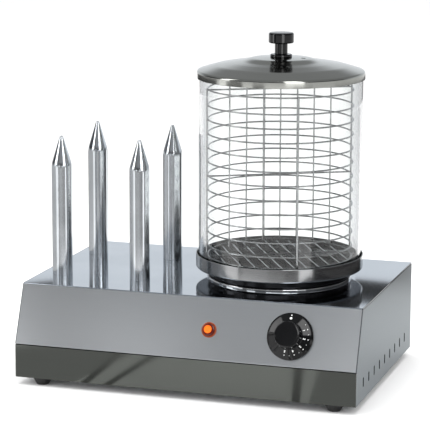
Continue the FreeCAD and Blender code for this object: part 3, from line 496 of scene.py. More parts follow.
def rounded(outline, scale=MM):
    """Turns corners of (x, y, radius) into points, with an arc at each corner that has a radius."""
    corners = [Vector(corner[:2]) * scale for corner in outline]
    points = []
    for index, corner in enumerate(corners):
        radius = outline[index][2] * scale
        after = corners[(index + 1) % len(corners)]
        points += corner_arc(corners[index - 1], corner, after, radius) if radius else [corner]
    return points


print("a square with 2 mm corners has", len(rounded([(0, 0, 2), (9, 0, 2), (9, 9, 2), (0, 9, 2)])), "points")


# %% The lathe
SIDES = 144


def turned(outline, axis=(0, 0), z=0.0, sides=SIDES):
    """Turns an outline of (radius, height, corner radius) in millimetres about an upright axis."""
    shape = bmesh.new()
    rings = []
    for radius, height in rounded(outline):
        turns = [0.0] if radius < 1e-9 else [math.tau * step / sides for step in range(sides)]
        rings.append([shape.verts.new((axis[0] + radius * math.cos(turn), axis[1] + radius * math.sin(turn),
                                       z + height)) for turn in turns])
    for ring, after in zip(rings, rings[1:] + rings[:1]):
        if len(ring) + len(after) == 2:
            continue
        for step in range(sides):
            far = (step + 1) % sides
            corners = [ring[step % len(ring)], ring[far % len(ring)],
                       after[far % len(after)], after[step % len(after)]]
            shape.faces.new(list(dict.fromkeys(corners)))
    bmesh.ops.recalc_face_normals(shape, faces=shape.faces)
    return shape


# %% [markdown]
# ## From a shape to a piece
# A finished piece is a plain mesh at the origin with one material; it is fixed to the body it moves
# with, and the frame's nodes that it stands for are hidden. Normals are weighted by face size, so a
# broad flat face stays flat up to its rounded edge.


# %% Plain meshes with smooth shading
SHARP = math.radians(38)


def settled(thing):
    """Applies the modifiers and leaves a plain mesh."""
    ready = thing.evaluated_get(bpy.context.evaluated_depsgraph_get())
    mesh = bpy.data.meshes.new_from_object(ready)
    thing.modifiers.clear()
    thing.data = mesh
    return thing


def shown(name, mesh):
    thing = bpy.data.objects.new(name, mesh)
    bpy.context.scene.collection.objects.link(thing)
    return thing


def smoothed(thing):
    thing.data.shade_smooth()
    thing.data.set_sharp_from_angle(angle=SHARP)
    weighted = thing.modifiers.new("weighted", "WEIGHTED_NORMAL")
    weighted.keep_sharp = True
    return settled(thing)


def as_object(name, shape, place=None):
    """Makes a mesh object from an edited shape, moved to its place."""
    mesh = bpy.data.meshes.new(name)
    shape.to_mesh(mesh)
    shape.free()
    if place is not None:
        mesh.transform(place)
    return shown(name, mesh)


# %% Fixing a piece to its body
def coat(thing, material):
    thing.data.materials.clear()
    thing.data.materials.append(material)


def finish_piece(thing, material, body, slot, *stands_for):
    coat(thing, material)
    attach(thing, body)
    if stands_for:
        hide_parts(*stands_for)
    print(thing.name, "rides on", body, "with", len(thing.data.polygons), "faces")
    return thing


def turned_piece(name, outline, material, body, slot, *stands_for, axis=(0, 0), z=0.0, place=None,
                 sides=SIDES):
    shape = turned(outline, axis, z, sides)
    return finish_piece(smoothed(as_object(name, shape, place)), material, body, slot, *stands_for)


# %% [markdown]
# ## The folded cover
# The top and the sloping front come off a press brake as one sheet with a single bend. The bend catches
# the light as a thin line, so its radius has to be real. An outline of the bent sheet is pushed
# across the width, the openings are cut, and a fine bevel takes the edge off the cut steel.

# %% The cover's outline
SHEET = 1.2
BEND = 1.8


def prism(outline, half):
    """A closed outline in the YZ plane, in millimetres, pushed from -half to +half along X."""
    points = rounded(outline)
    shape = bmesh.new()
    ends = [[shape.verts.new((x, point[0], point[1])) for point in points] for x in (-half, half)]
    for index in range(len(points)):
        after = (index + 1) % len(points)
        shape.faces.new([ends[0][index], ends[0][after], ends[1][after], ends[1][index]])
    shape.faces.new(ends[0])
    shape.faces.new(ends[1])
    bmesh.ops.recalc_face_normals(shape, faces=shape.faces)
    return shape


def cover_outline():
    low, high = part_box("top_cover")
    top, front, rear = high.z / MM, low.y / MM, high.y / MM
    lean, rise = outward.z, -outward.y
    fold = (dial_point.y + (top_z - dial_point.z) * outward.z / rise) / MM
    drop = (fold - front) * rise / lean
    inner_fold = fold + SHEET * (1 - lean) / rise
    return [(rear, top, 0.5), (fold, top, BEND), (front, top - drop, 0.5),
            (front + SHEET * rise, top - drop - SHEET * lean, 0.3),
            (inner_fold, top - SHEET, BEND - SHEET), (rear, top - SHEET, 0.3)]


print("cover outline:", [(round(y, 1), round(z, 1)) for y, z, radius in cover_outline()])

# %% Tools for openings
RING_WIDE = 3.7
SHANK_HOLE, DIAL_HOLE, LAMP_HOLE = 8.3, 5.3, 6.1
SPIKES = sorted(name for name in nodes if name.startswith("bun_spike"))


def cutter(radius, place):
    """A round tool, for an opening."""
    shape = bmesh.new()
    bmesh.ops.create_cone(shape, cap_ends=True, segments=96, radius1=radius, radius2=radius,
                          depth=12 * MM, matrix=place)
    return shape


def cover_openings():
    """One tool for the plate, one for each spike's shank, and two on the slope for dial and lamp."""
    plate_hole = steam_axis.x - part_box("plate_trim_ring")[0].x - RING_WIDE * MM
    tools = [cutter(plate_hole, Matrix.Translation((*steam_axis, top_z)))]
    for spike in SPIKES:
        tools.append(cutter(SHANK_HOLE * MM, Matrix.Translation((*middle(spike).xy, top_z))))
    for radius, point in ((DIAL_HOLE, dial_point), (LAMP_HOLE, lamp_point)):
        tools.append(cutter(radius * MM, on_slope(point)))
    return [as_object("opening", tool) for tool in tools]


# %% Cutting the cover
def cut_out(thing, tools):
    for tool in tools:
        cutting = thing.modifiers.new("cut", "BOOLEAN")
        cutting.object = tool
        cutting.solver = "EXACT"
    settled(thing)
    for tool in tools:
        bpy.data.objects.remove(tool)
    return thing


def fine_bevel(thing, width):
    edge = thing.modifiers.new("edge", "BEVEL")
    edge.width = width
    edge.segments = 2
    edge.limit_method = "ANGLE"
    edge.angle_limit = SHARP
    edge.harden_normals = False
    return settled(thing)


cover = cut_out(as_object("folded_cover", prism(cover_outline(), half_width)), cover_openings())
cover = smoothed(fine_bevel(cover, 0.25 * MM))
finish_piece(cover, cover_steel, "housing", "top_steel", "top_cover")

# %% [markdown]
# ## The spikes
# Each spike is turned from 25 mm bar: a long straight length to carry the bun, and a slender cone to
# pierce it. The node already has the right size, but its edges are sharp, so each is turned again with
# a small blend where the cone begins, a rounded nose and a thin chamfer where it meets the cover.


# %% Four spikes
def spike_outline():
    return [(0, 173, 0), (1.9, 173, 1.6), (12.5, 138, 25), (12.5, 0.05, 0.15), (8, 0.05, 0.3), (8, -16, 0.8),
            (6.3, -16, 0.4), (6.3, 129, 0.8), (0, 129, 0)]


for spike in SPIKES:
    turned_piece(spike.replace("bun_spike", "spike"), spike_outline(), spike_steel, "housing", "spike_steel",
                 spike, axis=middle(spike).xy, z=top_z, sides=96)

# %% [markdown]
# ## Hot plate and trim ring
# A cast plate stands a little above the cover, and a bright half-round ring hides the gap between them.
# The ring is the thin double line of light under the pan.

# %% Trim ring
ring_low, ring_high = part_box("plate_trim_ring")
ring_out = (ring_high.x - steam_axis.x) / MM
ring_up = (ring_high.z - ring_low.z) / MM
ring_in = ring_out - RING_WIDE
turned_piece("bright_trim_ring",
             [(ring_in, 0, 0.2), (ring_out, 0, 0.2), (ring_out, ring_up, 1.7), (ring_in, ring_up, 1.7)],
             trim_steel, "housing", "trim_chrome", "plate_trim_ring", axis=steam_axis, z=top_z)

# %% [markdown]
# ## Water pan
# The pan is spun from one disc: a flat base over the hot plate, a low wall, a ledge that the glass
# stands on, and an upright rim. Both faces of the metal are in one outline, so the wall has its real
# thickness, and the rim's top edge is rolled smooth.

# %% Pan
pan_low, pan_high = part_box("water_pan")
rim = across("water_pan").x / 2 / MM
ledge = 9.5
rim_top = (pan_high.z - pan_low.z) / MM
base = rim - 15
turned_piece("spun_water_pan", [
    (0, 0, 0), (base - 1.0, 0, 2.4), (base, 1.2, 1.0), (base, ledge, 1.5), (rim, ledge, 2.2),
    (rim, rim_top, 0.5), (rim - SHEET, rim_top, 0.5), (rim - SHEET, ledge + SHEET, 1.2),
    (base - SHEET, ledge + SHEET, 2.4), (base - SHEET, SHEET, 1.8), (0, SHEET, 0),
], pan_steel, "pan", "pan_steel", "water_pan", axis=steam_axis, z=pan_low.z)

# %% [markdown]
# ## Glass cylinder
# A length of heat-proof tube with fire-polished ends: the flame leaves each end almost half round, and
# those round ends are what catch the light.

# %% Glass
glass_low, glass_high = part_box("glass_cylinder")
tube = across("glass_cylinder").x / 2 / MM
bore = tube - 4
tall = (glass_high.z - glass_low.z) / MM
turned_piece("polished_glass_tube",
             [(bore, 0, 1.7), (tube, 0, 1.7), (tube, tall, 1.7), (bore, tall, 1.7)],
             glass, "glass", "glass", "glass_cylinder", axis=steam_axis, z=glass_low.z, sides=192)

# %% [markdown]
# ## Wire basket
# The basket is all repetition: hoops at an even pitch, uprights at a quarter turn, a flat grid down the
# middle. That is work for geometry nodes. Modelling the wires by hand would fix every number in place;
# a tree has the counts and pitches as inputs, and a change of one moves every wire with it. A wire is
# always the same idea here: a line or circle, then a small round profile swept along it.


# %% Running a geometry tree
SOCKETS = {int: "NodeSocketInt", float: "NodeSocketFloat", bpy.types.Material: "NodeSocketMaterial",
           bpy.types.Object: "NodeSocketObject"}


def grown(name, build, points=None, **sizes):
    """Runs a tree with named inputs and returns its result as a plain mesh object."""
    group = bpy.data.node_groups.new(name, "GeometryNodeTree")
    group.interface.new_socket(name="Geometry", in_out="INPUT", socket_type="NodeSocketGeometry")
    group.interface.new_socket(name="Geometry", in_out="OUTPUT", socket_type="NodeSocketGeometry")
    named = {}
    for label, value in sizes.items():
        socket = group.interface.new_socket(name=label, in_out="INPUT", socket_type=SOCKETS[type(value)])
        named[label] = socket.identifier
    graph = Graph(group)
    enter = graph.node("NodeGroupInput")
    solid = realized(graph, build(graph, enter))
    coated = graph.node("GeometryNodeSetMaterial", {}, {"Geometry": solid, "Material": enter["material"]})
    graph.node("NodeGroupOutput", {}, {0: coated})
    thing = shown(name, points or bpy.data.meshes.new(name))
    growth = thing.modifiers.new(name, "NODES")
    growth.node_group = group
    for label, value in sizes.items():
        growth[named[label]] = value
    return settled(thing)


# %% Lines, points and wires for the trees
def circle(graph, radius, steps):
    return graph.node("GeometryNodeCurvePrimitiveCircle", {}, {"Resolution": steps, "Radius": radius})


def soft(graph, shape):
    return graph.node("GeometryNodeSetShadeSmooth", {}, {0: shape, "Shade Smooth": True})


def wire(graph, path, radius):
    """A round profile swept along a path."""
    inputs = {"Curve": path, "Profile Curve": circle(graph, radius, 12), "Fill Caps": True}
    return soft(graph, graph.node("GeometryNodeCurveToMesh", {}, inputs))


def row_of_points(graph, count, start, step):
    inputs = {"Count": count, "Start Location": start, "Offset": step}
    return graph.node("GeometryNodeMeshLine", {}, inputs)


def line(graph, start, end):
    return graph.node("GeometryNodeCurvePrimitiveLine", {}, {"Start": start, "End": end})


def crossbar(graph, half, height):
    """A level line from -half to half along X."""
    return line(graph, graph.point(X=half * -1, Z=height), graph.point(X=half, Z=height))


def realized(graph, shape):
    return graph.node("GeometryNodeRealizeInstances", {}, {"Geometry": shape})


def moved(graph, shape, offset):
    return graph.node("GeometryNodeTransform", {}, {"Geometry": shape, "Translation": offset})


def joined(graph, parts):
    return graph.node("GeometryNodeJoinGeometry", {}, {"Geometry": parts})


def instanced(graph, points, shape, **inputs):
    return graph.node("GeometryNodeInstanceOnPoints", {}, {"Points": points, "Instance": shape, **inputs})


# %% [markdown]
# ### Hoops
# Eleven hoops stand at one pitch, and two more close the basket: one under the rest that holds the
# floor, one above them as the rim. A row of points carries the even ones and a single point each of
# the others, so a circle placed on every point makes them all.


# %% Hoops
def hoop_points(graph, enter):
    """A point on the axis for every hoop: the even row, then the floor's and the rim's."""
    pitch = (enter["highest"] - enter["lowest"]) / (enter["count"] - 1)
    even = row_of_points(graph, enter["count"], graph.point(Z=enter["lowest"]), graph.point(Z=pitch))
    ends = [row_of_points(graph, 1, graph.point(Z=enter[end]), (0, 0, 0)) for end in ("floor", "rim")]
    return joined(graph, [even] + ends)


def hoop_tree(graph, enter):
    rings = instanced(graph, hoop_points(graph, enter), circle(graph, enter["radius"], 120))
    return wire(graph, realized(graph, rings), enter["wire"])


WIRE = 1.0 * MM
hoop_low, hoop_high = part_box("basket_hoops")
hoop_radius = (hoop_high.x - hoop_low.x) / 2 - WIRE
floor_hoop = hoop_low.z + WIRE
rim_hoop = hoop_high.z - WIRE
HOOP_ROW = {"floor": floor_hoop, "lowest": floor_hoop + 13.6 * MM, "highest": rim_hoop - 19.7 * MM,
            "rim": rim_hoop, "count": 11}
BASKET_TURN = math.radians(29)
basket_place = Matrix.Translation((*steam_axis, 0)) @ Matrix.Rotation(BASKET_TURN, 4, "Z")


def basket_piece(name, build, node, **sizes):
    thing = grown(name, build, material=wire_steel, **sizes)
    thing.data.transform(basket_place)
    return finish_piece(thing, wire_steel, "basket", "wire_steel", node)


basket_piece("wire_hoops", hoop_tree, "basket_hoops", radius=hoop_radius, wire=WIRE, **HOOP_ROW)

# %% [markdown]
# ### Uprights and welds
# Four thicker wires stand outside the hoops and are welded to each one. The weld is a small swelling,
# and it is what makes the basket read as welded wire and not as crossed lines.


# %% Uprights with a weld at every hoop
def upright_tree(graph, enter):
    """One upright with its welds, copied round the axis."""
    pole = wire(graph, line(graph, graph.point(Z=enter["foot"]), graph.point(Z=enter["head"])), enter["wire"])
    bead = graph.node("GeometryNodeMeshIcoSphere", {}, {"Radius": enter["weld"], "Subdivisions": 2})
    beads = instanced(graph, hoop_points(graph, enter), soft(graph, bead))
    beads = moved(graph, beads, graph.point(X=enter["weld_inward"] * -1))
    one = moved(graph, joined(graph, [pole, beads]), graph.point(X=enter["radius"]))
    centre = row_of_points(graph, enter["uprights"], (0, 0, 0), (0, 0, 0))
    turn = graph.node("GeometryNodeInputIndex") / enter["uprights"] * math.tau
    return instanced(graph, centre, one, Rotation=graph.point(Z=turn))


UPRIGHT = 1.25 * MM
upright_low, upright_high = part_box("basket_uprights")
basket_piece("wire_uprights", upright_tree, "basket_uprights", uprights=4, foot=upright_low.z,
             head=upright_high.z, wire=UPRIGHT, weld=UPRIGHT * 1.15, weld_inward=UPRIGHT * 0.75,
             radius=hoop_radius + WIRE + UPRIGHT - 0.3 * MM, **HOOP_ROW)

# %% [markdown]
# ### Divider and floor
# The divider is a flat grid on the middle plane. The floor is a row of parallel wires cut to the
# circle, so each wire's length follows from its place: half of it is the root of the radius squared
# less the offset squared. The tree works that out and scales by it a line one metre long on each side.


# %% Divider grid
def across_row(graph, enter, height=0.0):
    """Points along X at one pitch: one in the middle and as many as asked on each side."""
    start = graph.point(X=enter["pitch"] * enter["each_side"] * -1, Z=height)
    return row_of_points(graph, enter["each_side"] * 2 + 1, start, graph.point(X=enter["pitch"]))


def divider_tree(graph, enter):
    stick = line(graph, graph.point(Z=enter["foot"]), graph.point(Z=enter["head"]))
    sticks = realized(graph, instanced(graph, across_row(graph, enter), stick))
    bars = [crossbar(graph, enter["half"], enter[height]) for height in ("foot", "tie", "rim")]
    top_half = enter["pitch"] * enter["each_side"] + enter["wire"]
    bars.append(crossbar(graph, top_half, enter["head"]))
    return wire(graph, joined(graph, [sticks] + bars), enter["wire"])


divider_low, divider_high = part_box("basket_divider")
basket_piece("wire_divider", divider_tree, "basket_divider", wire=WIRE, foot=divider_low.z + WIRE,
             head=divider_high.z - WIRE, tie=(HOOP_ROW["lowest"] + HOOP_ROW["highest"]) / 2,
             rim=rim_hoop, half=hoop_radius - 0.7 * MM, pitch=21.1 * MM, each_side=3)


# %% Floor grid
def floor_tree(graph, enter):
    offset = (graph.node("GeometryNodeInputIndex") - enter["each_side"]) * enter["pitch"]
    half = (enter["radius"] ** 2 - offset ** 2) ** 0.5
    unit = line(graph, (0, -1, 0), (0, 1, 0))
    rods = instanced(graph, across_row(graph, enter, enter["height"]), unit,
                     Scale=graph.point(X=1.0, Y=half, Z=1.0))
    tie = crossbar(graph, enter["radius"], enter["height"] - enter["wire"] * 1.7)
    return wire(graph, joined(graph, [realized(graph, rods), tie]), enter["wire"])


basket_piece("wire_floor", floor_tree, "basket_floor", wire=WIRE, radius=hoop_radius, pitch=15 * MM,
             each_side=5, height=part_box("basket_floor")[1].z - WIRE)

# %% [markdown]
# ## Lid
# The lid is a shallow spun dome with a skirt that drops over the glass, a low crown that rises softly
# in the middle, and one vent hole. Its outline again holds both faces of the metal, and each corner has
# the radius a spinning tool would leave.

# %% Lid and its vent
crown_top = 16.5
crown_hole = 2.8
skirt = 8.2
lid_z = (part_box("lid")[0].z / MM + skirt) * MM
lid_out = across("lid").x / 2 / MM
crown = [(lid_out - 7.4, 2.2, 5), (80, 6.6, 60), (60, 10.0, 30), (47, 11.9, 50), (36, 15.2, 36),
         (14, crown_top, 20)]
lid_outline = [(lid_out - SHEET, 0, 0.6), (lid_out - SHEET, -skirt, 0.4), (lid_out, -skirt, 0.4),
               (lid_out, SHEET, 3.2)]
lid_outline += [(radius, height + SHEET, blend) for radius, height, blend in crown]
lid_outline += [(crown_hole, crown_top + SHEET, 0.2), (crown_hole, crown_top, 0.2)]
lid_outline += [(radius, height, blend) for radius, height, blend in reversed(crown)]
lid = as_object("spun_lid", turned(lid_outline, steam_axis, lid_z, 160))
vent = Matrix.Translation((steam_axis.x + 28 * MM, steam_axis.y, lid_z + 15 * MM))
cut_out(lid, [as_object("vent", cutter(3 * MM, vent))])
finish_piece(smoothed(lid), lid_steel, "lid", "lid_steel", "lid")

# %% [markdown]
# ## Lid knob
# A glossy moulded mushroom on a collar. Its head has a soft edge above and a tighter one below, as a
# two-part mould leaves it.

# %% Lid knob
knob_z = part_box("lid_knob")[0].z
turned_piece("black_lid_knob", [
    (2.55, 0, 0), (13.3, 0, 0.6), (13.3, 3.5, 1.4), (7.8, 3.5, 1.2), (7.8, 17, 1.2), (15.3, 17, 1.6),
    (15.3, 29.4, 2.2), (8, 30, 6), (0, 30, 0), (0, 18, 0), (2.55, 18, 0),
], black_plastic, "lid", "black_plastic", "lid_knob", axis=steam_axis, z=knob_z)

# %% [markdown]
# ## Thermostat knob
# The knob is a wide sloping skirt that carries the scale, with a round grip standing out of it. The
# print is real geometry: each number is a text object turned into a mesh and laid on the slope of the
# skirt, which keeps it sharp at any distance and lets it turn with the knob.

# %% Knob body
dial_place = on_slope(dial_point)
turned_piece("black_thermostat_knob", [
    (12, 0.8, 0.3), (28, 0.8, 0.5), (28, 3.3, 0.9), (25.5, 4.8, 1.2), (16.2, 9.3, 1.4), (15.6, 18.9, 2.4),
    (13, 19.8, 3), (0, 19.8, 0), (0, 15.05, 0), (3.05, 15.05, 0.1), (3.05, 6.3, 0.2), (12, 6.3, 0.8),
], black_plastic, "dial", "black_plastic", "thermostat_knob", place=dial_place)


# %% Places on the skirt
SKIRT_OUT, SKIRT_IN = Vector((25.5, 4.8)) * MM, Vector((16.2, 9.3)) * MM
SKIRT_TILT = math.atan2(SKIRT_IN.y - SKIRT_OUT.y, SKIRT_OUT.x - SKIRT_IN.x)
print("the skirt slopes by", round(math.degrees(SKIRT_TILT), 1), "degrees")


def on_skirt(clockwise, radius):
    """Lays a flat thing on the skirt with its top outward, at an angle clockwise from the mark."""
    share = (SKIRT_OUT.x - radius) / (SKIRT_OUT.x - SKIRT_IN.x)
    height = SKIRT_OUT.y + share * (SKIRT_IN.y - SKIRT_OUT.y) + 0.03 * MM
    around = Matrix.Rotation(-math.radians(clockwise), 4, "Z")
    lying = Matrix.Translation((0, radius, height)) @ Matrix.Rotation(-SKIRT_TILT, 4, "X")
    return dial_place @ around @ lying


# %% Printed scale
NUMBERS = 5
FIRST_MARK, MARK_STEP = 66, 31
NUMBER_RADIUS, DOT_RADIUS = 18.6 * MM, 23.0 * MM


def printed_number(text, size):
    """A number as a thin slab, with its middle at the origin."""
    letters = bpy.data.curves.new("number", "FONT")
    letters.body = text
    letters.size = size
    letters.extrude = 0.04 * MM
    letters.offset = 0.16 * MM
    letters.align_x = "CENTER"
    letters.align_y = "CENTER"
    thing = shown("number", letters)
    mesh = bpy.data.meshes.new_from_object(thing.evaluated_get(bpy.context.evaluated_depsgraph_get()))
    bpy.data.objects.remove(thing)
    return mesh


def dot(shape, clockwise, radius, size):
    bmesh.ops.create_cone(shape, cap_ends=True, segments=24, radius1=size, radius2=size,
                          depth=0.08 * MM, matrix=on_skirt(clockwise, radius))


def dial_print():
    shape = bmesh.new()
    for index in range(NUMBERS):
        clockwise = FIRST_MARK + MARK_STEP * index
        number = printed_number(str(index + 1), 3.7 * MM)
        number.transform(on_skirt(clockwise, NUMBER_RADIUS))
        shape.from_mesh(number)
        dot(shape, clockwise, DOT_RADIUS, 0.60 * MM)
        dot(shape, clockwise - MARK_STEP / 2, DOT_RADIUS, 0.36 * MM)
    dot(shape, 0, 20.8 * MM, 1.5 * MM)
    dot(shape, 0, 24.7 * MM, 0.7 * MM)
    return shape


finish_piece(as_object("dial_scale_print", dial_print()), white_print, "dial", "black_plastic")

# %% [markdown]
# ## Pilot lamp
# A small amber lens in a round flange. The lens is a truncated cone with a flat face, and the flange is
# a separate ring on the real lamp, so it is a piece of its own here.

# %% Lamp lens and bezel
lamp_place = on_slope(lamp_point)
turned_piece("amber_lamp_lens",
             [(0, 0.05, 0), (7.6, 0.05, 0.1), (7.6, 1.4, 0.3), (6.4, 5.9, 1.0), (0, 5.9, 0)],
             amber, "housing", "lamp_amber", "lamp_lens", place=lamp_place, sides=72)
turned_piece("lamp_bezel", [(7.65, 0.05, 0.1), (9.3, 0.05, 0.1), (9.3, 0.9, 0.6), (7.65, 1.5, 0.4)],
             amber, "housing", "lamp_amber", place=lamp_place, sides=72)

# %% [markdown]
# ## Feet
# Four tapered rubber feet, each with a recess for its screw and a soft lower edge where it has worn
# against worktops.

# %% Feet
foot_outline = [(4.6, 0, 0.4), (7.5, 0, 1.2), (12, 8.6, 1.0), (12, 10, 0.5), (2.3, 10, 0), (2.3, 3.5, 0),
                (4.6, 3.5, 0.2)]
for foot in sorted(name for name in nodes if name.startswith("foot_") and name != "foot_screws"):
    turned_piece("rubber_" + foot, foot_outline, foot_rubber, "housing", "foot_rubber", foot,
                 axis=middle(foot).xy, sides=64)

# %% [markdown]
# ## Screws
# Twelve pan-head screws hold the panels. One head is modelled with care, dome and cross slot, and a
# geometry tree sets a copy on each screw's place. The places come from the node itself: it is a group
# of separate solids, so its mesh falls apart into twelve islands, and each island's box gives a point
# and the way the head faces.

# %% Islands of a grouped node
def islands(name):
    """The boxes of the separate solids in a node, as (low, high) pairs."""
    shape = bmesh.new()
    shape.from_mesh(nodes[name].data)
    bmesh.ops.remove_doubles(shape, verts=shape.verts, dist=1e-6)
    left = set(shape.verts)
    boxes = []
    while left:
        reach, found = [left.pop()], []
        while reach:
            vertex = reach.pop()
            found.append(vertex.co.copy())
            near = [edge.other_vert(vertex) for edge in vertex.link_edges]
            reach += [other for other in near if other in left]
            left.difference_update(near)
        boxes.append((Vector(map(min, *found)), Vector(map(max, *found))))
    shape.free()
    return sorted(boxes, key=lambda box: tuple(box[0]))


print(len(islands("panel_screws")), "panel screws,", len(islands("foot_screws")), "foot screws")


# %% One screw, and a tree that repeats it
def screw_head(radius, height, shank, length):
    """A pan head with a cross slot on a plain shank, pointing up, its seat at the origin."""
    outline = [(0, height, 0), (radius * 0.62, height, 0.9), (radius, height * 0.45, 0.5), (radius, 0, 0.1),
               (shank, 0, 0.1), (shank, -length, 0.4), (0, -length, 0)]
    head = as_object("screw", turned(outline, sides=28))
    bars = []
    for turn in (0, 90):
        bar = bmesh.new()
        place = Matrix.Rotation(math.radians(turn), 4, "Z") @ Matrix.Translation((0, 0, height * MM))
        size = Matrix.Diagonal((radius * 1.25 * MM, 0.7 * MM, 1.6 * MM, 1))
        bmesh.ops.create_cube(bar, size=1, matrix=place @ size)
        bars.append(as_object("bar", bar))
    return smoothed(cut_out(head, bars))


def screw_tree(graph, enter):
    screw = graph.node("GeometryNodeObjectInfo", {}, {"Object": enter["screw"]})["Geometry"]
    facing = graph.node("GeometryNodeInputNamedAttribute", {"data_type": "FLOAT_VECTOR"}, {"Name": "facing"})
    turn = graph.node("FunctionNodeAlignRotationToVector", {"axis": "Z"}, {"Vector": facing})
    return instanced(graph, enter["Geometry"], screw, Rotation=turn)


# %% Heads on their places
def seats(name, height):
    """For each screw, the seat of its head and the way it faces: to the rear, or down."""
    spots = []
    for low, high in islands(name):
        seat = (low + high) / 2
        if high.y - low.y > high.z - low.z:
            seat.y = high.y - height * MM
            spots.append((seat, (0, 1, 0)))
        else:
            seat.z = low.z + height * MM
            spots.append((seat, (0, 0, -1)))
    return spots


def screw_piece(name, node, radius, height, shank, length):
    head = screw_head(radius, height, shank, length)
    spots = seats(node, height)
    points = bpy.data.meshes.new(name)
    points.from_pydata([place for place, facing in spots], [], [])
    facings = points.attributes.new("facing", "FLOAT_VECTOR", "POINT")
    facings.data.foreach_set("vector", [part for place, facing in spots for part in facing])
    thing = grown(name, screw_tree, points, material=fixing_steel, screw=head)
    bpy.data.objects.remove(head)
    return finish_piece(thing, fixing_steel, "housing", "fixing_steel", node)


screw_piece("pan_head_screws", "panel_screws", radius=3.8, height=2.0, shank=1.9, length=7)
screw_piece("foot_fixing_screws", "foot_screws", radius=3.6, height=2.5, shank=2.0, length=9.6)

# %% [markdown]
# ## Cable gland
# Where the mains lead enters, a gland grips it: a round collar against the panel, then a domed nut
# with ribs for the fingers. The bore stays open through both.


# %% Gland
def ribbed(shape, count, depth, inner):
    """Pushes the skin in, in waves round the Z axis, to make finger ribs outside a given radius."""
    for vertex in shape.verts:
        reach = vertex.co.xy
        if reach.length > inner:
            wave = 0.5 + 0.5 * math.cos(count * math.atan2(reach.y, reach.x))
            vertex.co.xy = reach * (1 - depth * wave / reach.length)
    return shape


gland_point = middle("cable_gland")
gland_point.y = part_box("rear_panel")[1].y
gland_place = Matrix.Translation(gland_point) @ Matrix.Rotation(-math.pi / 2, 4, "X")
gland = turned([(4, -12, 0.4), (8, -12, 0.6), (8, 0.05, 0), (11, 0.05, 0.5), (11, 5, 0.6), (9.6, 5.6, 0.2),
                (10.6, 6.4, 0.4), (10.6, 15, 2.4), (7.2, 23.5, 1.2), (5.2, 23.9, 0.6), (4, 22.6, 0.4)])
gland = ribbed(gland, 18, 0.45 * MM, 8.6 * MM)
finish_piece(smoothed(as_object("ribbed_cable_gland", gland, gland_place)), gland_plastic, "housing",
             "gland_plastic", "cable_gland")

# %% [markdown]
# ## Finishes for the pieces that stay
# The flat panels and the inner works already have their true shape, so they keep their own meshes and
# only get a finish. A table from finish to nodes is shorter than a call for each, and a check at the
# end shows whether anything was missed.

# %% Finishes for the frame's own nodes
kept = {
    side_steel: ("side_panel_left", "side_panel_right"),
    rear_steel: ("rear_panel",),
    kick_steel: ("front_lower_panel",),
    base_steel: ("base_plate",),
    cast_metal: ("hot_plate",),
    heater_steel: ("heating_element", "spike_heaters"),
    fixing_steel: ("spike_washers", "spike_nuts", "plate_clamp_strap", "plate_clamp_studs",
                   "plate_clamp_nuts", "lid_knob_screw", "lid_knob_washer", "thermostat_nut",
                   "thermostat_shaft", "earth_stud"),
    ceramic: ("thermostat_body", "safety_cutout", "terminal_block", "lamp_body", "lamp_clip"),
    gland_plastic: ("gland_nut",),
    copper: ("sensor_bulb",),
    sleeve: ("lead_live", "lead_neutral", "lead_lamp", "lead_earth"),
}
for material, names in kept.items():
    for name in names:
        coat(nodes[name], material)
named = {name for names in kept.values() for name in names}
bare = [name for name, node in nodes.items() if name not in named and not node.hide_render]
print(len(named), "nodes keep their mesh; without a finish:", bare)

# %% [markdown]
# ## Studio
# The object stands on a plain pale floor. Polished steel has no colour of its own, only what it
# reflects, so a studio for it needs bright panels and dark gaps between them. The panels stand round
# the object as curved cards that only reflections can see: they draw the streaks on the spikes and the
# rim without showing in the picture or changing the light on the floor.


# %% Floor
def floor_material():
    material, graph, shader = new_material("pale_floor", Roughness=0.9)
    clouds = noise(graph, object_point(graph), 3.0, 2.0)
    drive(graph, shader, Base_Color=graph.blend(clouds, (0.86, 0.86, 0.86, 1), (0.88, 0.88, 0.88, 1)))
    return material


def stage_mesh(name, vertices, faces, material):
    mesh = bpy.data.meshes.new(name)
    mesh.from_pydata(vertices, [], faces)
    thing = shown(name, mesh)
    coat(thing, material)
    return thing


FLOOR = 9.0
stage_mesh("floor", [(-FLOOR, -FLOOR, 0), (FLOOR, -FLOOR, 0), (FLOOR, FLOOR, 0), (-FLOOR, FLOOR, 0)],
           [(0, 1, 2, 3)], floor_material())


# %% World
def studio_world():
    """White, except in reflections: they see a white backdrop behind and a darker room elsewhere."""
    world = bpy.data.worlds.new("studio")
    world.use_nodes = True
    bpy.context.scene.world = world
    graph = Graph(world.node_tree)
    way = graph.node("ShaderNodeTexCoord")["Generated"]
    parts = graph.node("ShaderNodeSeparateXYZ", {}, {0: way})
    backdrop = parts["Y"].within(0.15, 0.75) * (1 - parts["Z"].within(0.22, 0.46))
    room = graph.blend(parts["Z"].within(0.22, 0.50), (0.05, 0.05, 0.055, 1), (0.38, 0.39, 0.40, 1))
    reflected = graph.blend(backdrop, room, (0.92, 0.96, 1.0, 1))
    ray = graph.node("ShaderNodeLightPath")
    colour = graph.blend(ray["Is Glossy Ray"], (1.0, 1.0, 1.0, 1), reflected)
    back = world.node_tree.nodes["Background"]
    drive(graph, back, Color=colour, Strength=ray["Is Diffuse Ray"] * 0.2 + 1.0)


studio_world()
print("world:", bpy.context.scene.world.name)


# %% Cards that only reflections see
def card_material(name, brightness):
    material = bpy.data.materials.new(name)
    material.use_nodes = True
    graph = Graph(material.node_tree)
    material.node_tree.nodes.clear()
    glow = graph.node("ShaderNodeEmission", {}, {"Color": (1, 1, 1, 1), "Strength": brightness})
    graph.node("ShaderNodeOutputMaterial", {}, {"Surface": glow})
    return material


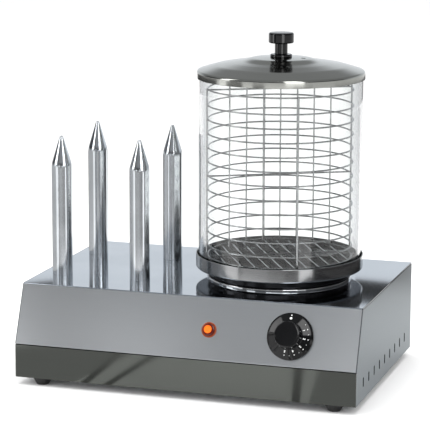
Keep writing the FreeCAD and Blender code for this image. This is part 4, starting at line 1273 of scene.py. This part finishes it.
def reflected_only(thing):
    thing.visible_camera = False
    thing.visible_diffuse = False
    thing.visible_transmission = False
    thing.visible_shadow = False
    return thing


CARD_DISTANCE = 0.62
CARD_STEPS = 12


def card(name, start, end, brightness, low, high):
    """A curved upright panel round the object, between two compass angles from the front, in degrees."""
    turns = [math.radians(start + (end - start) * step / CARD_STEPS) for step in range(CARD_STEPS + 1)]
    ring = [(CARD_DISTANCE * math.sin(turn), -CARD_DISTANCE * math.cos(turn)) for turn in turns]
    vertices = [(x, y, z) for x, y in ring for z in (low, high)]
    faces = [(2 * step, 2 * step + 1, 2 * step + 3, 2 * step + 2) for step in range(CARD_STEPS)]
    return reflected_only(stage_mesh(name, vertices, faces, card_material(name, brightness)))


# %% The cards
# name: (first angle, last angle, brightness, lower edge, upper edge)
CARDS = {
    "left_back": (-172, -118, 0.10, 0.0, 0.20),
    "left": (-116, -54, 0.55, 0.0, 0.26),
    "left_patch": (-54, -36, 1.3, 0.0, 0.26),
    "left_line": (-34, -27, 0.20, 0.0, 0.29),
    "front_left": (-27, 8, 0.50, 0.0, 0.20),
    "front": (8, 30, 0.36, 0.0, 0.20),
    "front_right": (30, 46, 0.24, 0.0, 0.20),
    "streak": (46, 60, 1.7, 0.0, 0.22),
    "right_dark": (62, 150, 0.05, 0.0, 0.26),
    "front_dark": (-27, 75, 0.12, 0.205, 0.252),
    "lid_far_left": (-140, -75, 0.04, 0.262, 0.30),
    "lid_left": (-70, -56, 2.4, 0.262, 0.30),
    "lid_left_gap": (-55, -29, 0.25, 0.256, 0.30),
    "lid_inner_left": (-28, -14, 1.8, 0.256, 0.30),
    "lid_middle_gap": (-13, 2, 0.25, 0.256, 0.30),
    "lid_middle": (3, 36, 1.9, 0.256, 0.30),
    "lid_right_gap": (38, 60, 0.22, 0.256, 0.30),
    "lid_right": (64, 86, 1.2, 0.262, 0.30),
    "lid_far_right": (88, 178, 0.04, 0.262, 0.30),
    "slope_shade": (-49, -30, 0.12, 0.31, 0.60),
    "left_high": (-66, -50, 4.2, 0.32, 1.00),
    "right_high": (28, 50, 5.0, 0.32, 1.40),
}
for name, (start, end, brightness, low, high) in CARDS.items():
    card(name + "_card", start, end, brightness, low, high)
print(len(CARDS), "cards")


# %% [markdown]
# The lower front is polished enough to show the bench before it. A few pale and dark strips lie there,
# again only for reflections, and give that panel its slanting streaks.

# %% Strips on the bench
NEAR_Y, FAR_Y, STRIP_Z = -0.17, -0.46, 0.0004
# name: (left and right end of the near edge, the same for the far edge, brightness)
STRIPS = {
    "bench_left": ((-0.42, -0.150), (-0.140, -0.112), 0.90),
    "bench_streak_left": ((-0.140, -0.130), (-0.152, -0.140), 0.42),
    "bench_streak_middle": ((-0.112, -0.102), (-0.096, -0.084), 0.42),
    "bench_streak_right": ((0.130, 0.140), (0.056, 0.070), 0.45),
    "bench_right": ((0.150, 0.40), (0.096, 0.30), 0.86),
}
for name, ((near_left, near_right), (far_left, far_right), brightness) in STRIPS.items():
    corners = [(near_left, NEAR_Y, STRIP_Z), (near_right, NEAR_Y, STRIP_Z),
               (far_right, FAR_Y, STRIP_Z), (far_left, FAR_Y, STRIP_Z)]
    reflected_only(stage_mesh(name, corners, [(0, 1, 2, 3)], card_material(name, brightness)))
print(len(STRIPS), "strips")

# %% [markdown]
# Three large soft lamps light what isn't metal: the floor, the feet, the plastics. They are hidden from
# reflections, which belong to the cards. The camera is far away with a long lens, as for a catalogue.


# %% Lamps
def soft_lamp(name, place, target, size, power):
    lamp = bpy.data.lights.new(name, "AREA")
    lamp.shape = "RECTANGLE"
    lamp.size, lamp.size_y = size
    lamp.energy = power
    thing = shown(name, lamp)
    thing.location = place
    thing.rotation_euler = (Vector(target) - Vector(place)).to_track_quat("-Z", "Y").to_euler()
    thing.visible_glossy = False
    print(name, power, "W")


AIM = (0, 0, 0.15)
soft_lamp("overhead_softbox", (0.0, -0.2, 2.2), AIM, (2.0, 2.0), 34)
soft_lamp("left_softbox", (-1.9, -1.2, 1.3), AIM, (1.0, 1.4), 16)
soft_lamp("right_softbox", (2.0, -1.0, 1.5), AIM, (0.8, 1.2), 6)

# %% Camera
camera = shown("camera", bpy.data.cameras.new("camera"))
camera.data.sensor_width = 36
camera.data.lens = 174.13
camera.data.shift_x = 0.0050
camera.data.shift_y = -0.0509
CAMERA_PLACE = (0.7585, -2.4079, 0.6951)
TURN, TILT, ROLL = math.radians(17.70), math.radians(10.604), math.radians(0.161)
facing = Euler((math.pi / 2 - TILT, 0, TURN)).to_matrix().to_4x4() @ Matrix.Rotation(ROLL, 4, "Z")
camera.matrix_world = Matrix.Translation(CAMERA_PLACE) @ facing
bpy.context.scene.camera = camera
bpy.context.scene.view_settings.view_transform = "Standard"
print("camera at", CAMERA_PLACE)

# %% [markdown]
